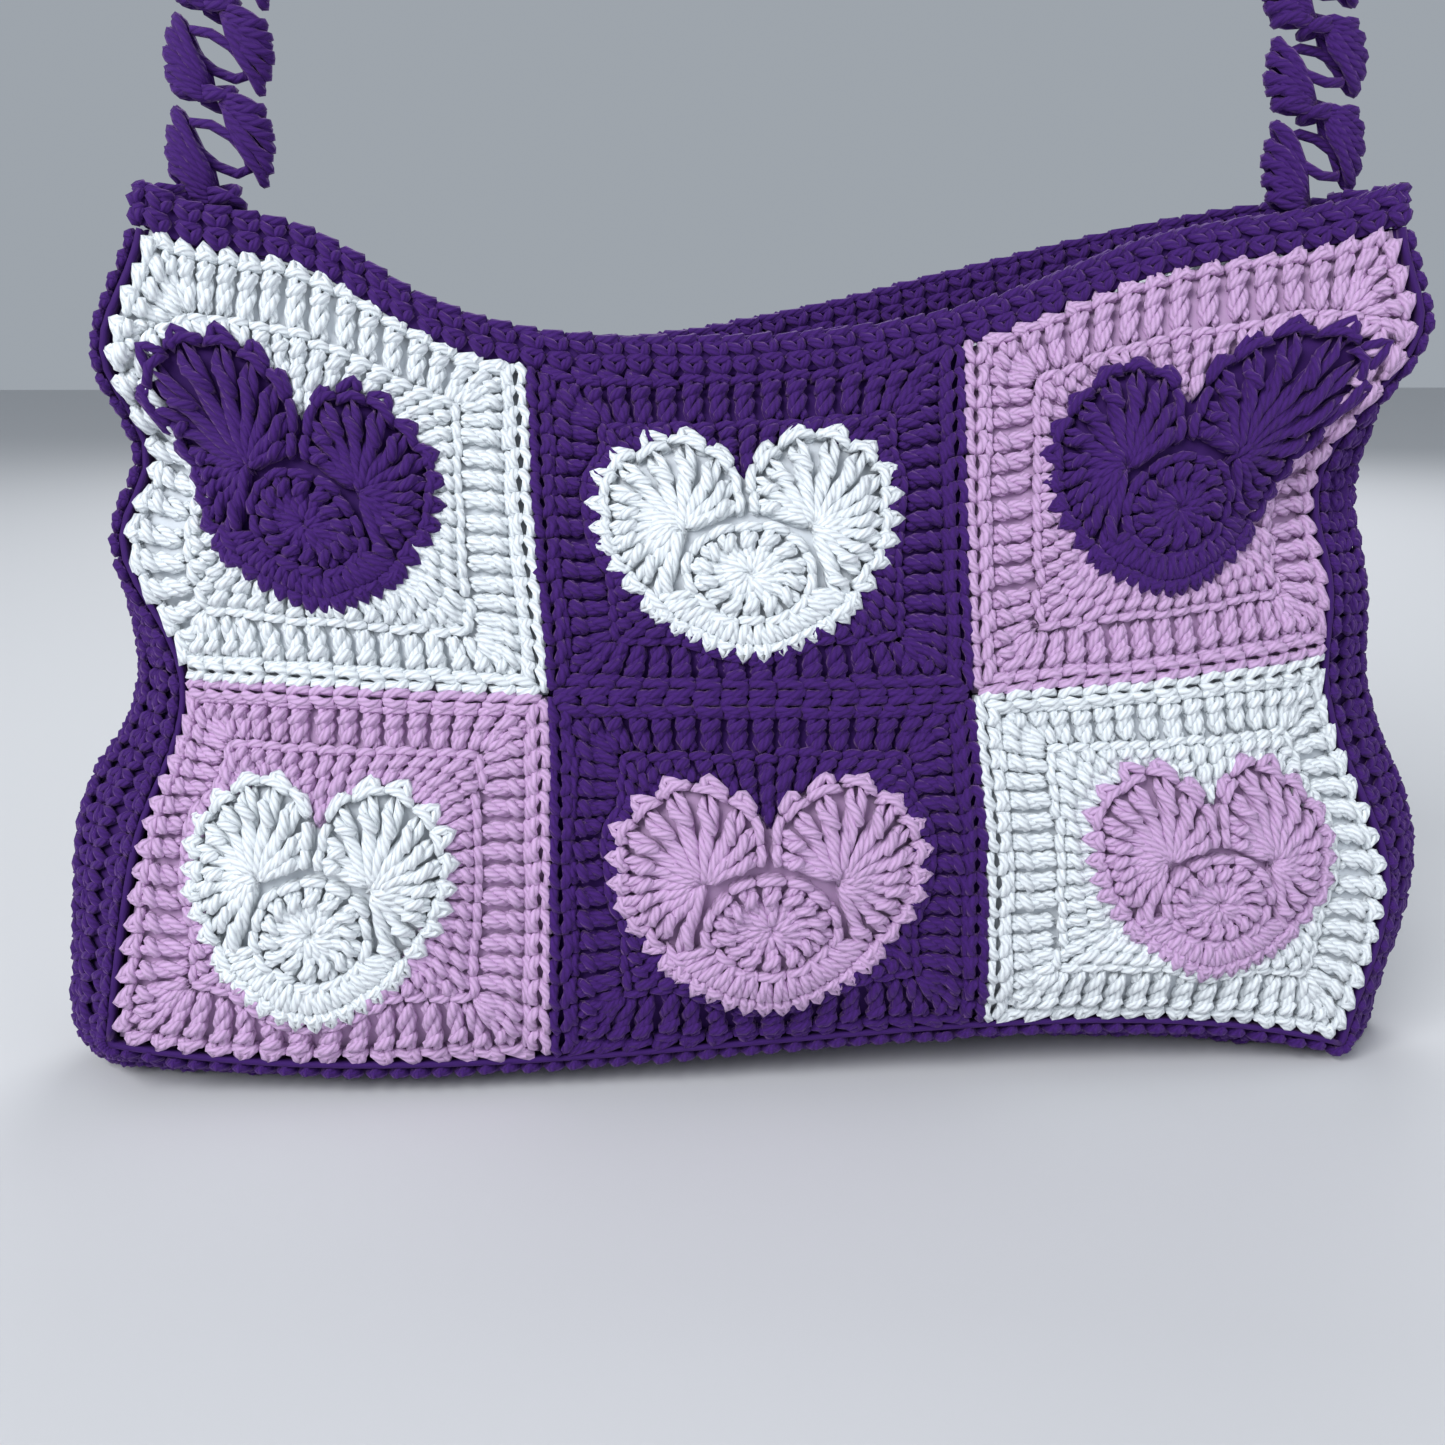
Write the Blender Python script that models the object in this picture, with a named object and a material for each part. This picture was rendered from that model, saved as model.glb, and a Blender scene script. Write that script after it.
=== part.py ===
"""Crocheted shoulder bag: twelve heart squares, a gusset, a rim, a cloth lining and a strap of shell clusters.

Blender 4.5, metres, +Z up. Heights are worked out above the bag's bottom, and the finished pieces are then
moved so that the origin lies at the underside of the strap's highest point, where the bag hangs.
"""
import math
from collections import namedtuple

import bmesh
import bpy
from mathutils import Vector

# Driving dimensions
BODY_WIDTH = 0.360
BODY_HEIGHT = 0.240
BODY_DEPTH = 0.062
WALL = 0.0045
SEAM_GAP = 0.0004
RIM_HEIGHT = 0.0105
RIM_WALL = 0.0055
STRAP_DROP = 0.205
STRAP_WIDTH = 0.029
STRAP_PINCH = 0.023
STRAP_WALL = 0.008
STRAP_INSET = 0.008
CLUSTER_PITCH = 0.022
LINING_WALL = 0.001
LINING_EASE = 0.0045
GUSSET_REACH = 0.020

# Each panel is three squares wide (u from 0 to 3) and two squares high (v from 0 to 2)
COLUMNS = ("left", "middle", "right")
ROWS = ("bottom", "top")
LEVEL_STEP = 0.5

# A row for each level of a panel, from its bottom edge to its top edge, each with the panel's left edge,
# left seam, right seam and right edge: across in shares of half BODY_WIDTH, up in shares of BODY_HEIGHT
# and depth in shares of BODY_DEPTH, less than nothing towards the front
Level = namedtuple("Level", "across up depth")
PANELS = {
    "front": (
        Level((-0.98, -0.33, 0.34, 0.92), (0.070, 0.042, 0.067, 0.025), (-0.53, -0.54, -0.50, -0.46)),
        Level((-0.93, -0.32, 0.33, 0.98), (0.288, 0.262, 0.266, 0.235), (-0.42, -0.55, -0.55, -0.37)),
        Level((-0.86, -0.32, 0.31, 0.86), (0.471, 0.454, 0.450, 0.483), (-0.28, -0.40, -0.40, -0.22)),
        Level((-0.93, -0.34, 0.31, 0.87), (0.725, 0.629, 0.638, 0.712), (0.00, -0.13, -0.13, 0.03)),
        Level((-0.885, -0.355, 0.33, 0.95), (0.946, 0.800, 0.820, 0.954), (0.10, 0.24, 0.29, 0.13)),
    ),
    "back": (
        Level((-0.99, -0.33, 0.34, 0.93), (0.080, 0.046, 0.055, 0.042), (0.45, 0.50, 0.50, 0.42)),
        Level((-0.96, -0.32, 0.33, 0.98), (0.275, 0.258, 0.258, 0.250), (0.55, 0.61, 0.61, 0.52)),
        Level((-0.92, -0.32, 0.32, 0.89), (0.475, 0.454, 0.458, 0.475), (0.48, 0.61, 0.61, 0.45)),
        Level((-0.91, -0.335, 0.32, 0.91), (0.708, 0.617, 0.660, 0.717), (0.52, 0.68, 0.71, 0.48)),
        Level((-0.905, -0.345, 0.33, 0.955), (0.946, 0.783, 0.868, 0.950), (0.55, 0.71, 0.76, 0.55)),
    ),
}

# A row for each fold or pull of the cloth: its middle and its reach in squares, and how far it moves the
# cloth: across in shares of BODY_WIDTH, up in shares of BODY_HEIGHT and out in shares of BODY_DEPTH
Fold = namedtuple("Fold", "u v reach_u reach_v across up out")
FOLDS = {
    "front": (
        Fold(0.45, 2.00, 0.30, 0.36, 0.000, 0.056, 0.00),
        Fold(2.45, 2.00, 0.34, 0.40, 0.000, 0.038, 0.00),
        Fold(0.00, 1.72, 0.30, 0.18, -0.012, 0.000, 0.10),
        Fold(0.00, 1.48, 0.24, 0.12, 0.014, 0.000, -0.12),
        Fold(0.02, 1.26, 0.30, 0.16, -0.021, 0.000, 0.04),
        Fold(0.00, 0.98, 0.22, 0.40, 0.000, 0.000, -0.14),
        Fold(3.00, 1.74, 0.34, 0.20, 0.042, 0.000, 0.10),
        Fold(2.97, 1.38, 0.26, 0.20, 0.000, 0.000, -0.20),
        Fold(3.00, 1.20, 0.30, 0.24, 0.018, 0.000, 0.00),
        Fold(3.00, 0.80, 0.24, 0.30, 0.000, 0.000, -0.14),
        Fold(0.55, 0.14, 0.45, 0.10, 0.000, 0.000, 0.06),
        Fold(1.50, 0.16, 0.60, 0.10, 0.000, 0.000, 0.07),
        Fold(2.40, 0.16, 0.40, 0.10, 0.000, 0.000, 0.08),
    ),
    "back": (
        Fold(0.30, 2.00, 0.34, 0.40, 0.000, 0.020, 0.00),
        Fold(0.00, 1.10, 0.25, 0.60, 0.000, 0.000, -0.10),
        Fold(3.00, 1.10, 0.25, 0.60, 0.000, 0.000, -0.10),
        Fold(1.50, 0.16, 0.80, 0.12, 0.000, 0.000, 0.05),
        Fold(1.10, 1.70, 0.50, 0.18, 0.000, 0.000, -0.06),
    ),
}
# How far the middle of each square stands out of its panel, in shares of BODY_DEPTH
PILLOW = 0.085

# The right half of a heart's outline: angle above level in degrees, and reach in shares of half a square
HeartPoint = namedtuple("HeartPoint", "angle reach")
HEART = (
    HeartPoint(-90, 0.74),
    HeartPoint(-60, 0.68),
    HeartPoint(-30, 0.64),
    HeartPoint(0, 0.68),
    HeartPoint(30, 0.77),
    HeartPoint(60, 0.75),
    HeartPoint(75, 0.60),
    HeartPoint(90, 0.36),
)
# A row for each front square: its heart's middle and its width and height, as stretched cloth shows them, in
# shares of half a square and of the outline above
HeartPlace = namedtuple("HeartPlace", "a b wide high")
HEART_PLACES = {
    ("top", "left"): HeartPlace(-0.07, 0.02, 0.90, 0.80),
    ("top", "middle"): HeartPlace(-0.03, -0.01, 0.97, 0.97),
    ("top", "right"): HeartPlace(0.06, 0.06, 0.94, 0.80),
    ("bottom", "left"): HeartPlace(-0.10, -0.10, 0.90, 0.92),
    ("bottom", "middle"): HeartPlace(0.00, -0.08, 1.00, 0.95),
    ("bottom", "right"): HeartPlace(0.09, -0.02, 0.86, 0.88),
}
PLAIN_PLACE = HeartPlace(0.0, 0.0, 0.95, 0.95)
# Lobes pulled towards the strap: how far, in shares of half a square, at which angle and over how many degrees
LOBE_PULL = 0.24
LOBE_ANGLE = 34.0
LOBE_SPREAD = 28.0
SPOKES = 24
RINGS = {"front": 3, "back": 2}
HEART_RINGS = 2

# A row for each place along the gusset, from the left end over the bottom to the right end: how far it
# stands out from the squares' edges, in shares of GUSSET_REACH, less than nothing where it is folded in
GussetPlace = namedtuple("GussetPlace", "along out")
GUSSET = (
    GussetPlace(0.0, -0.60),
    GussetPlace(0.5, 0.05),
    GussetPlace(1.0, 0.45),
    GussetPlace(1.5, 1.00),
    GussetPlace(2.0, 0.85),
    GussetPlace(2.5, 0.60),
    GussetPlace(3.0, 0.52),
    GussetPlace(4.0, 0.52),
    GussetPlace(4.6, 0.60),
    GussetPlace(5.0, 0.85),
    GussetPlace(5.5, 0.85),
    GussetPlace(6.0, 0.75),
    GussetPlace(6.5, 0.50),
    GussetPlace(7.0, -0.60),
)
CORNER_STEPS = 4
GUSSET_STEPS = 6

# The lining's levels up the panels and its ends, in squares
LINING_LEVELS = (0.10, 0.5, 1.0, 1.5, 1.88)
LINING_END = 0.22
LINING_STEPS = 12

# Colours, roughness and the squares' yarns, seen from outside each panel from left to right
YARNS = {
    "purple": (0.045, 0.008, 0.135, 1.0),
    "lilac": (0.58, 0.38, 0.62, 1.0),
    "white": (0.80, 0.84, 0.92, 1.0),
    "lining": (0.030, 0.026, 0.052, 1.0),
}
YARN_ROUGHNESS = 0.85
PATTERN = {
    "top": (("white", "purple"), ("purple", "white"), ("lilac", "purple")),
    "bottom": (("lilac", "white"), ("purple", "lilac"), ("white", "lilac")),
}


def clear_scene():
    for obj in list(bpy.data.objects):
        bpy.data.objects.remove(obj, do_unlink=True)


def across_weights(u):
    """Weights of a cubic through the left edge, the left seam, the right seam and the right edge."""
    return (
        -(u - 1) * (u - 2) * (u - 3) / 6,
        u * (u - 2) * (u - 3) / 2,
        -u * (u - 1) * (u - 3) / 2,
        u * (u - 1) * (u - 2) / 6,
    )


def smooth_between(values, place):
    """A smooth curve through evenly spaced values, read at a place counted in steps."""
    last = len(values) - 1
    step = min(int(math.floor(place)), last - 1)
    share = place - step
    before = values[step - 1] if step > 0 else 2 * values[0] - values[1]
    after = values[step + 2] if step + 2 <= last else 2 * values[last] - values[last - 1]
    start = values[step]
    end = values[step + 1]
    return 0.5 * (
        2 * start
        + (end - before) * share
        + (2 * before - 5 * start + 4 * end - after) * share**2
        + (3 * start - before - 3 * end + after) * share**3
    )


def panel_axes(side):
    """The panel's up direction and its outward direction, both square to the bag's width."""
    bottom = PANELS[side][0]
    top = PANELS[side][-1]
    rise = BODY_HEIGHT * (sum(top.up) - sum(bottom.up))
    lean = BODY_DEPTH * (sum(top.depth) - sum(bottom.depth))
    up = Vector((0, lean, rise)).normalized()
    out = Vector((0, -up.z, up.y)) if side == "front" else Vector((0, up.z, -up.y))
    return up, out


def panel_point(side, u, v):
    """The middle of a panel's cloth, above the bag's bottom."""
    weights = across_weights(u)
    place = v / LEVEL_STEP

    def read(column):
        values = [sum(w * x for w, x in zip(weights, getattr(level, column))) for level in PANELS[side]]
        return smooth_between(values, place)

    point = Vector((read("across") * BODY_WIDTH / 2, read("depth") * BODY_DEPTH, read("up") * BODY_HEIGHT))
    up, out = panel_axes(side)
    point += out * PILLOW * BODY_DEPTH * math.sin(math.pi * u) ** 2 * math.sin(math.pi * v) ** 2
    for fold in FOLDS[side]:
        distance = ((u - fold.u) / fold.reach_u) ** 2 + ((v - fold.v) / fold.reach_v) ** 2
        share = math.exp(-distance)
        point.x += fold.across * BODY_WIDTH * share
        point += (up * fold.up * BODY_HEIGHT + out * fold.out * BODY_DEPTH) * share
    return point


def heart_reach(angle, pull_side):
    """How far the heart reaches from the square's middle, at an angle in degrees above the right."""
    folded = angle if -90 <= angle <= 90 else 180 - angle
    if folded > 180:
        folded -= 360
    for low, high in zip(HEART, HEART[1:]):
        if low.angle <= folded <= high.angle:
            share = (folded - low.angle) / (high.angle - low.angle)
            smooth = share * share * (3 - 2 * share)
            reach = low.reach + (high.reach - low.reach) * smooth
    if pull_side:
        middle = LOBE_ANGLE if pull_side > 0 else 180 - LOBE_ANGLE
        away = (angle - middle) / LOBE_SPREAD
        reach += LOBE_PULL * math.exp(-away * away)
    return reach


def edge_shares():
    """Where the spokes meet one edge of a square, from 0 to 1."""
    step = 360 / SPOKES
    count = int(round(90 / step))
    return [(1 + math.tan(math.radians(-45 + step * k))) / 2 for k in range(count + 1)]


def heart_point(place, angle, pull_side, share, loose):
    """A point of the heart, or of its outline with a share of 1, in halves of a square from its middle."""
    folded = (angle + 180) % 360 - 180
    radians = math.radians(angle)
    reach = heart_reach(folded, pull_side) * share
    a = place.a + (reach * place.wide + loose) * math.cos(radians)
    b = place.b + (reach * place.high + loose) * math.sin(radians)
    return a, b


def edge_point(angle, column, row, inset):
    """Where a spoke meets the square's edge, which a seam to another square holds in by the inset."""
    radians = math.radians(angle)
    reach = 1 / max(abs(math.cos(radians)), abs(math.sin(radians)))
    low_a = -1 + (2 * inset if column > 0 else 0)
    high_a = 1 - (2 * inset if column < len(COLUMNS) - 1 else 0)
    low_b = -1 + (2 * inset if row > 0 else 0)
    high_b = 1 - (2 * inset if row < len(ROWS) - 1 else 0)
    a = max(low_a, min(high_a, reach * math.cos(radians)))
    b = max(low_b, min(high_b, reach * math.sin(radians)))
    return a, b


def square_point(side, column, row, a, b):
    return panel_point(side, column + (1 + a) / 2, row + (1 + b) / 2)


def slab(rings, out, wall, with_middle):
    """A closed slab from rings of cloth points, thick along one direction, open or filled in its middle."""
    mesh = bmesh.new()
    count = len(rings[0])
    faces = {}
    for name, shift in (("outer", out * wall / 2), ("inner", -out * wall / 2)):
        layers = [[mesh.verts.new(p + shift) for p in ring] for ring in rings]
        for near, far in zip(layers, layers[1:]):
            for k in range(count):
                m = (k + 1) % count
                mesh.faces.new((near[k], near[m], far[m], far[k]))
        if with_middle:
            centre = sum((p for p in rings[0]), Vector()) / count
            hub = mesh.verts.new(centre + shift)
            for k in range(count):
                mesh.faces.new((hub, layers[0][(k + 1) % count], layers[0][k]))
        faces[name] = layers
    borders = [-1] if with_middle else [0, -1]
    for border in borders:
        outer = faces["outer"][border]
        inner = faces["inner"][border]
        for k in range(count):
            m = (k + 1) % count
            mesh.faces.new((outer[k], outer[m], inner[m], inner[k]))
    return mesh


def tube(sections, closed):
    """A closed body from a run of equal sections, joined end to end or capped."""
    mesh = bmesh.new()
    rings = [[mesh.verts.new(p) for p in section] for section in sections]
    count = len(rings[0])
    pairs = list(zip(rings, rings[1:]))
    if closed:
        pairs.append((rings[-1], rings[0]))
    for near, far in pairs:
        for k in range(count):
            m = (k + 1) % count
            mesh.faces.new((near[k], near[m], far[m], far[k]))
    if not closed:
        mesh.faces.new(rings[0])
        mesh.faces.new(list(reversed(rings[-1])))
    return mesh


def gusset_out(along):
    """How far the gusset stands out from the squares' edges at a place along it."""
    for low, high in zip(GUSSET, GUSSET[1:]):
        if low.along <= along <= high.along:
            share = (along - low.along) / (high.along - low.along)
            return GUSSET_REACH * (low.out + (high.out - low.out) * share * share * (3 - 2 * share))
    return 0.0


def gusset_stations():
    """Places along the squares' edges with the angle that the gusset has turned, left side to right."""
    shares = edge_shares()
    high = len(ROWS)
    wide = len(COLUMNS)
    stations = []
    for row in reversed(range(high)):
        stations += [(0.0, row + share, 0.0, high - row - share) for share in reversed(shares[1:])]
    for k in range(1, CORNER_STEPS):
        stations.append((0.0, 0.0, 90 * k / CORNER_STEPS, float(high)))
    for column in range(wide):
        first = 1 if column == 0 else 0
        stations += [(column + share, 0.0, 90.0, high + column + share) for share in shares[first:-1]]
    for k in range(1, CORNER_STEPS):
        stations.append((float(wide), 0.0, 90 + 90 * k / CORNER_STEPS, float(high + wide)))
    for row in range(high):
        stations += [(float(wide), row + share, 180.0, high + wide + row + share) for share in shares[1:]]
    return stations


def gusset_section(station):
    """Inner and outer points of the gusset's section, from the front panel's edge to the back panel's."""
    u, v, turned, along = station
    radians = math.radians(turned)
    edges = {}
    for side in ("front", "back"):
        up, out = panel_axes(side)
        away = Vector((-math.cos(radians), 0, 0)) - up * math.sin(radians)
        edges[side] = (panel_point(side, u, v), out, away)
    front, front_out, front_away = edges["front"]
    back, back_out, back_away = edges["back"]
    half = WALL / 2
    behind = half + 2 * SEAM_GAP
    start = front - front_out * behind + front_away * SEAM_GAP
    end = back - back_out * behind + back_away * SEAM_GAP
    swell = gusset_out(along)
    inner = [front + front_out * half + front_away * SEAM_GAP]
    aways = [front_away]
    for k in range(GUSSET_STEPS + 1):
        share = k / GUSSET_STEPS
        away = front_away.lerp(back_away, share)
        inner.append(start.lerp(end, share) + away * swell * math.sin(math.pi * share))
        aways.append(away)
    inner.append(back + back_out * half + back_away * SEAM_GAP)
    aways.append(back_away)
    outer = [p + away * WALL for p, away in zip(inner, aways)]
    outer = [Vector((p.x, p.y, max(p.z, 0.0))) for p in outer]
    inner = [Vector((p.x, p.y, max(p.z, WALL))) for p in inner]
    return inner, outer


def rim_stations():
    """Pairs of inner and outer base points round the mouth, with the way up at each."""
    shares = edge_shares()
    high = float(len(ROWS))
    wide = len(COLUMNS)
    half = RIM_WALL / 2
    top_us = [column + share for column in range(wide) for share in shares[:-1]] + [float(wide)]
    ends = gusset_stations()
    stations = []
    for side, us, station in (("front", top_us, ends[-1]), ("back", top_us[::-1], ends[0])):
        up, out = panel_axes(side)
        for u in us:
            base = panel_point(side, u, high) + up * SEAM_GAP
            stations.append((base - out * half, base + out * half, up))
        inner, outer = gusset_section(station)
        if side == "back":
            inner.reverse()
            outer.reverse()
        other = panel_axes("back" if side == "front" else "front")[0]
        last = len(inner) - 1
        for k in range(last + 1):
            if k in (1, last - 1):
                continue
            share = k / last
            way = up.lerp(other, share).normalized()
            inside = inner[1] if k == 0 else inner[last - 1] if k == last else inner[k]
            stations.append((inside + way * SEAM_GAP, outer[k] + way * SEAM_GAP, way))
    return stations


def rim_section(inside, outside, up):
    """The rim's section: straight sides and a top rounded by two bevels."""
    shoulder = 0.65 * RIM_HEIGHT
    bevel = 0.28
    return [
        outside,
        outside + up * shoulder,
        outside.lerp(inside, bevel) + up * RIM_HEIGHT,
        inside.lerp(outside, bevel) + up * RIM_HEIGHT,
        inside + up * shoulder,
        inside,
    ]


def strap_feet():
    """Where the strap's two ends stand: the middle of the rim's top over each end of the gusset."""
    feet = []
    for station in (gusset_stations()[0], gusset_stations()[-1]):
        inner, outer = gusset_section(station)
        middle = len(inner) // 2
        foot = inner[middle].lerp(outer[middle], 0.5)
        inward = STRAP_INSET if foot.x < 0 else -STRAP_INSET
        feet.append(foot + Vector((inward, 0, RIM_HEIGHT + 2 * SEAM_GAP)))
    return feet


def strap_arch():
    """Half an ellipse over the two feet: its middle at their height, its half span and its height."""
    left, right = strap_feet()
    middle = left.lerp(right, 0.5)
    middle.z = max(left.z, right.z)
    return middle, (right.x - left.x) / 2, STRAP_DROP + STRAP_WALL / 2


def strap_places():
    """Angles along the arch, evenly spaced by length: each cluster has a widest place and two pinches."""
    middle, span, height = strap_arch()
    fine = 720
    lengths = [0.0]
    for k in range(fine):
        near = math.pi * k / fine
        far = math.pi * (k + 1) / fine
        step = math.hypot(span * (math.cos(far) - math.cos(near)), height * (math.sin(far) - math.sin(near)))
        lengths.append(lengths[-1] + step)
    clusters = round(lengths[-1] / CLUSTER_PITCH)
    places = []
    index = 0
    for k in range(2 * clusters + 1):
        goal = lengths[-1] * k / (2 * clusters)
        while index < fine - 1 and lengths[index + 1] < goal:
            index += 1
        share = (goal - lengths[index]) / (lengths[index + 1] - lengths[index])
        places.append(math.pi * (index + share) / fine)
    return places


def strap_section(angle, width):
    """The strap's section, with its flat face to the front at the feet and lying level at the top."""
    middle, span, height = strap_arch()
    outward = Vector((-height * math.cos(angle), 0, span * math.sin(angle))).normalized()
    centre = middle + Vector((-span * math.cos(angle), 0, height * math.sin(angle)))
    turn = math.pi / 2 * math.sin(angle) ** 2
    wide = outward * math.cos(turn) + Vector((0, 1, 0)) * math.sin(turn)
    thick = outward * math.sin(turn) - Vector((0, 1, 0)) * math.cos(turn)
    half_width = width / 2
    half_wall = STRAP_WALL / 2
    bevel = 0.3 * STRAP_WALL
    corners = (
        (half_width, half_wall - bevel),
        (half_width - bevel, half_wall),
        (bevel - half_width, half_wall),
        (-half_width, half_wall - bevel),
        (-half_width, bevel - half_wall),
        (bevel - half_width, -half_wall),
        (half_width - bevel, -half_wall),
        (half_width, bevel - half_wall),
    )
    return [centre + wide * x + thick * y for x, y in corners]


def lining_us(inset):
    """Even places across the lining between its two ends."""
    end = LINING_END + inset / (BODY_WIDTH / len(COLUMNS))
    return [end + (len(COLUMNS) - 2 * end) * k / LINING_STEPS for k in range(LINING_STEPS + 1)]


def lining_ring(v, inset):
    """A level of the lining: along the front panel's inside, and back along the back panel's."""
    ring = []
    for side, order in (("front", 1), ("back", -1)):
        out = panel_axes(side)[1]
        ring += [panel_point(side, u, v) - out * (WALL / 2 + inset) for u in lining_us(inset)[::order]]
    return ring


def lining_floor(inset):
    """The lining's lowest line, seated on the middle of the gusset's bottom."""
    rise = Vector((0, 0, 2 * SEAM_GAP + inset - LINING_EASE))
    sections = [gusset_section((u, 0.0, 90.0, len(ROWS) + u))[0] for u in lining_us(inset)]
    return [inner[len(inner) // 2] + rise for inner in sections]


def make_lining():
    """An open pouch of thin cloth inside the squares, which rests on the gusset's bottom."""
    mesh = bmesh.new()
    shells = []
    for inset in (LINING_EASE, LINING_EASE + LINING_WALL):
        rings = [[mesh.verts.new(p) for p in lining_ring(v, inset)] for v in LINING_LEVELS]
        count = len(rings[0])
        for near, far in zip(rings, rings[1:]):
            for k in range(count):
                m = (k + 1) % count
                mesh.faces.new((near[k], near[m], far[m], far[k]))
        half = count // 2
        front = rings[0][:half]
        back = rings[0][half:][::-1]
        low = [mesh.verts.new(p) for p in lining_floor(inset)]
        for k in range(half - 1):
            mesh.faces.new((front[k], low[k], low[k + 1], front[k + 1]))
            mesh.faces.new((low[k], back[k], back[k + 1], low[k + 1]))
        mesh.faces.new((front[0], back[0], low[0]))
        mesh.faces.new((front[-1], low[-1], back[-1]))
        shells.append(rings[-1])
    outer, inner = shells
    for k in range(len(outer)):
        m = (k + 1) % len(outer)
        mesh.faces.new((outer[k], outer[m], inner[m], inner[k]))
    return mesh


def make_square(side, column, row, heart_only):
    """One crocheted square: its heart, or the surround that the heart lies in."""
    pull_side = 0
    place = PLAIN_PLACE
    if side == "front":
        place = HEART_PLACES[ROWS[row], COLUMNS[column]]
        if ROWS[row] == "top":
            pull_side = column - 1
    out = panel_axes(side)[1]
    size = BODY_WIDTH / len(COLUMNS)
    inset = SEAM_GAP / 2 / size
    loose = SEAM_GAP / size
    angles = [-90 + 360 * k / SPOKES for k in range(SPOKES)]
    rings = []
    if heart_only:
        for ring in range(1, HEART_RINGS + 1):
            share = ring / HEART_RINGS
            outline = [heart_point(place, angle, pull_side, share, -loose) for angle in angles]
            rings.append([square_point(side, column, row, a, b) for a, b in outline])
        return slab(rings, out, WALL, True)
    for ring in range(RINGS[side] + 1):
        share = ring / RINGS[side]
        points = []
        for angle in angles:
            near_a, near_b = heart_point(place, angle, pull_side, 1.0, loose)
            far_a, far_b = edge_point(angle, column, row, inset)
            a = near_a + (far_a - near_a) * share
            b = near_b + (far_b - near_b) * share
            points.append(square_point(side, column, row, a, b))
        rings.append(points)
    return slab(rings, out, WALL, False)


def make_gusset():
    sections = []
    for station in gusset_stations():
        inner, outer = gusset_section(station)
        sections.append(inner + outer[::-1])
    return tube(sections, False)


def make_rim():
    return tube([rim_section(*station) for station in rim_stations()], True)


def make_strap():
    """The strap's clusters, narrow between each two, with both ends let down to the rim."""
    sections = []
    for k, angle in enumerate(strap_places()):
        sections.append(strap_section(angle, STRAP_WIDTH if k % 2 else STRAP_PINCH))
    for foot, section in zip(strap_feet(), (sections[0], sections[-1])):
        for point in section:
            point.z = foot.z
    return tube(sections, False)


def hang_shift():
    """Moves the underside of the strap's highest point to the origin."""
    middle, span, height = strap_arch()
    return -Vector((middle.x, middle.y, middle.z + STRAP_DROP))


def yarn_material(name, yarn):
    material = bpy.data.materials.new(name)
    material.use_nodes = True
    shader = material.node_tree.nodes["Principled BSDF"]
    shader.inputs["Base Color"].default_value = YARNS[yarn]
    shader.inputs["Roughness"].default_value = YARN_ROUGHNESS
    shader.inputs["Metallic"].default_value = 0.0
    material.diffuse_color = YARNS[yarn]
    return material


def add_piece(name, mesh, yarn, shift):
    """Closes a body, turns its faces outward and stores it as a named object."""
    bmesh.ops.translate(mesh, verts=mesh.verts, vec=shift)
    bmesh.ops.recalc_face_normals(mesh, faces=mesh.faces)
    if mesh.calc_volume(signed=True) < 0:
        bmesh.ops.reverse_faces(mesh, faces=mesh.faces)
    data = bpy.data.meshes.new(name)
    mesh.to_mesh(data)
    mesh.free()
    data.materials.append(yarn_material(name, yarn))
    data.shade_smooth()
    piece = bpy.data.objects.new(name, data)
    bpy.context.scene.collection.objects.link(piece)
    return piece


def main():
    clear_scene()
    shift = hang_shift()
    for side in PANELS:
        for row, row_name in enumerate(ROWS):
            pattern = PATTERN[row_name] if side == "front" else PATTERN[row_name][::-1]
            for column, column_name in enumerate(COLUMNS):
                surround, heart = pattern[column]
                name = f"{side}_{row_name}_{column_name}"
                add_piece(f"{name}_square", make_square(side, column, row, False), surround, shift)
                add_piece(f"{name}_heart", make_square(side, column, row, True), heart, shift)
    add_piece("gusset", make_gusset(), "purple", shift)
    add_piece("rim", make_rim(), "purple", shift)
    add_piece("strap", make_strap(), "purple", shift)
    add_piece("lining", make_lining(), "lining", shift)


main()
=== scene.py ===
"""Crocheted shoulder bag: every stitch as yarn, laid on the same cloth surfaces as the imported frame.

Metres, +Z up, in the frame's own axes. Each stitch is a short set of strands in a cell, and each cell lies on
the surface of a panel, the gusset, the rim or the strap.
"""
import math
from collections import namedtuple

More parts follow.
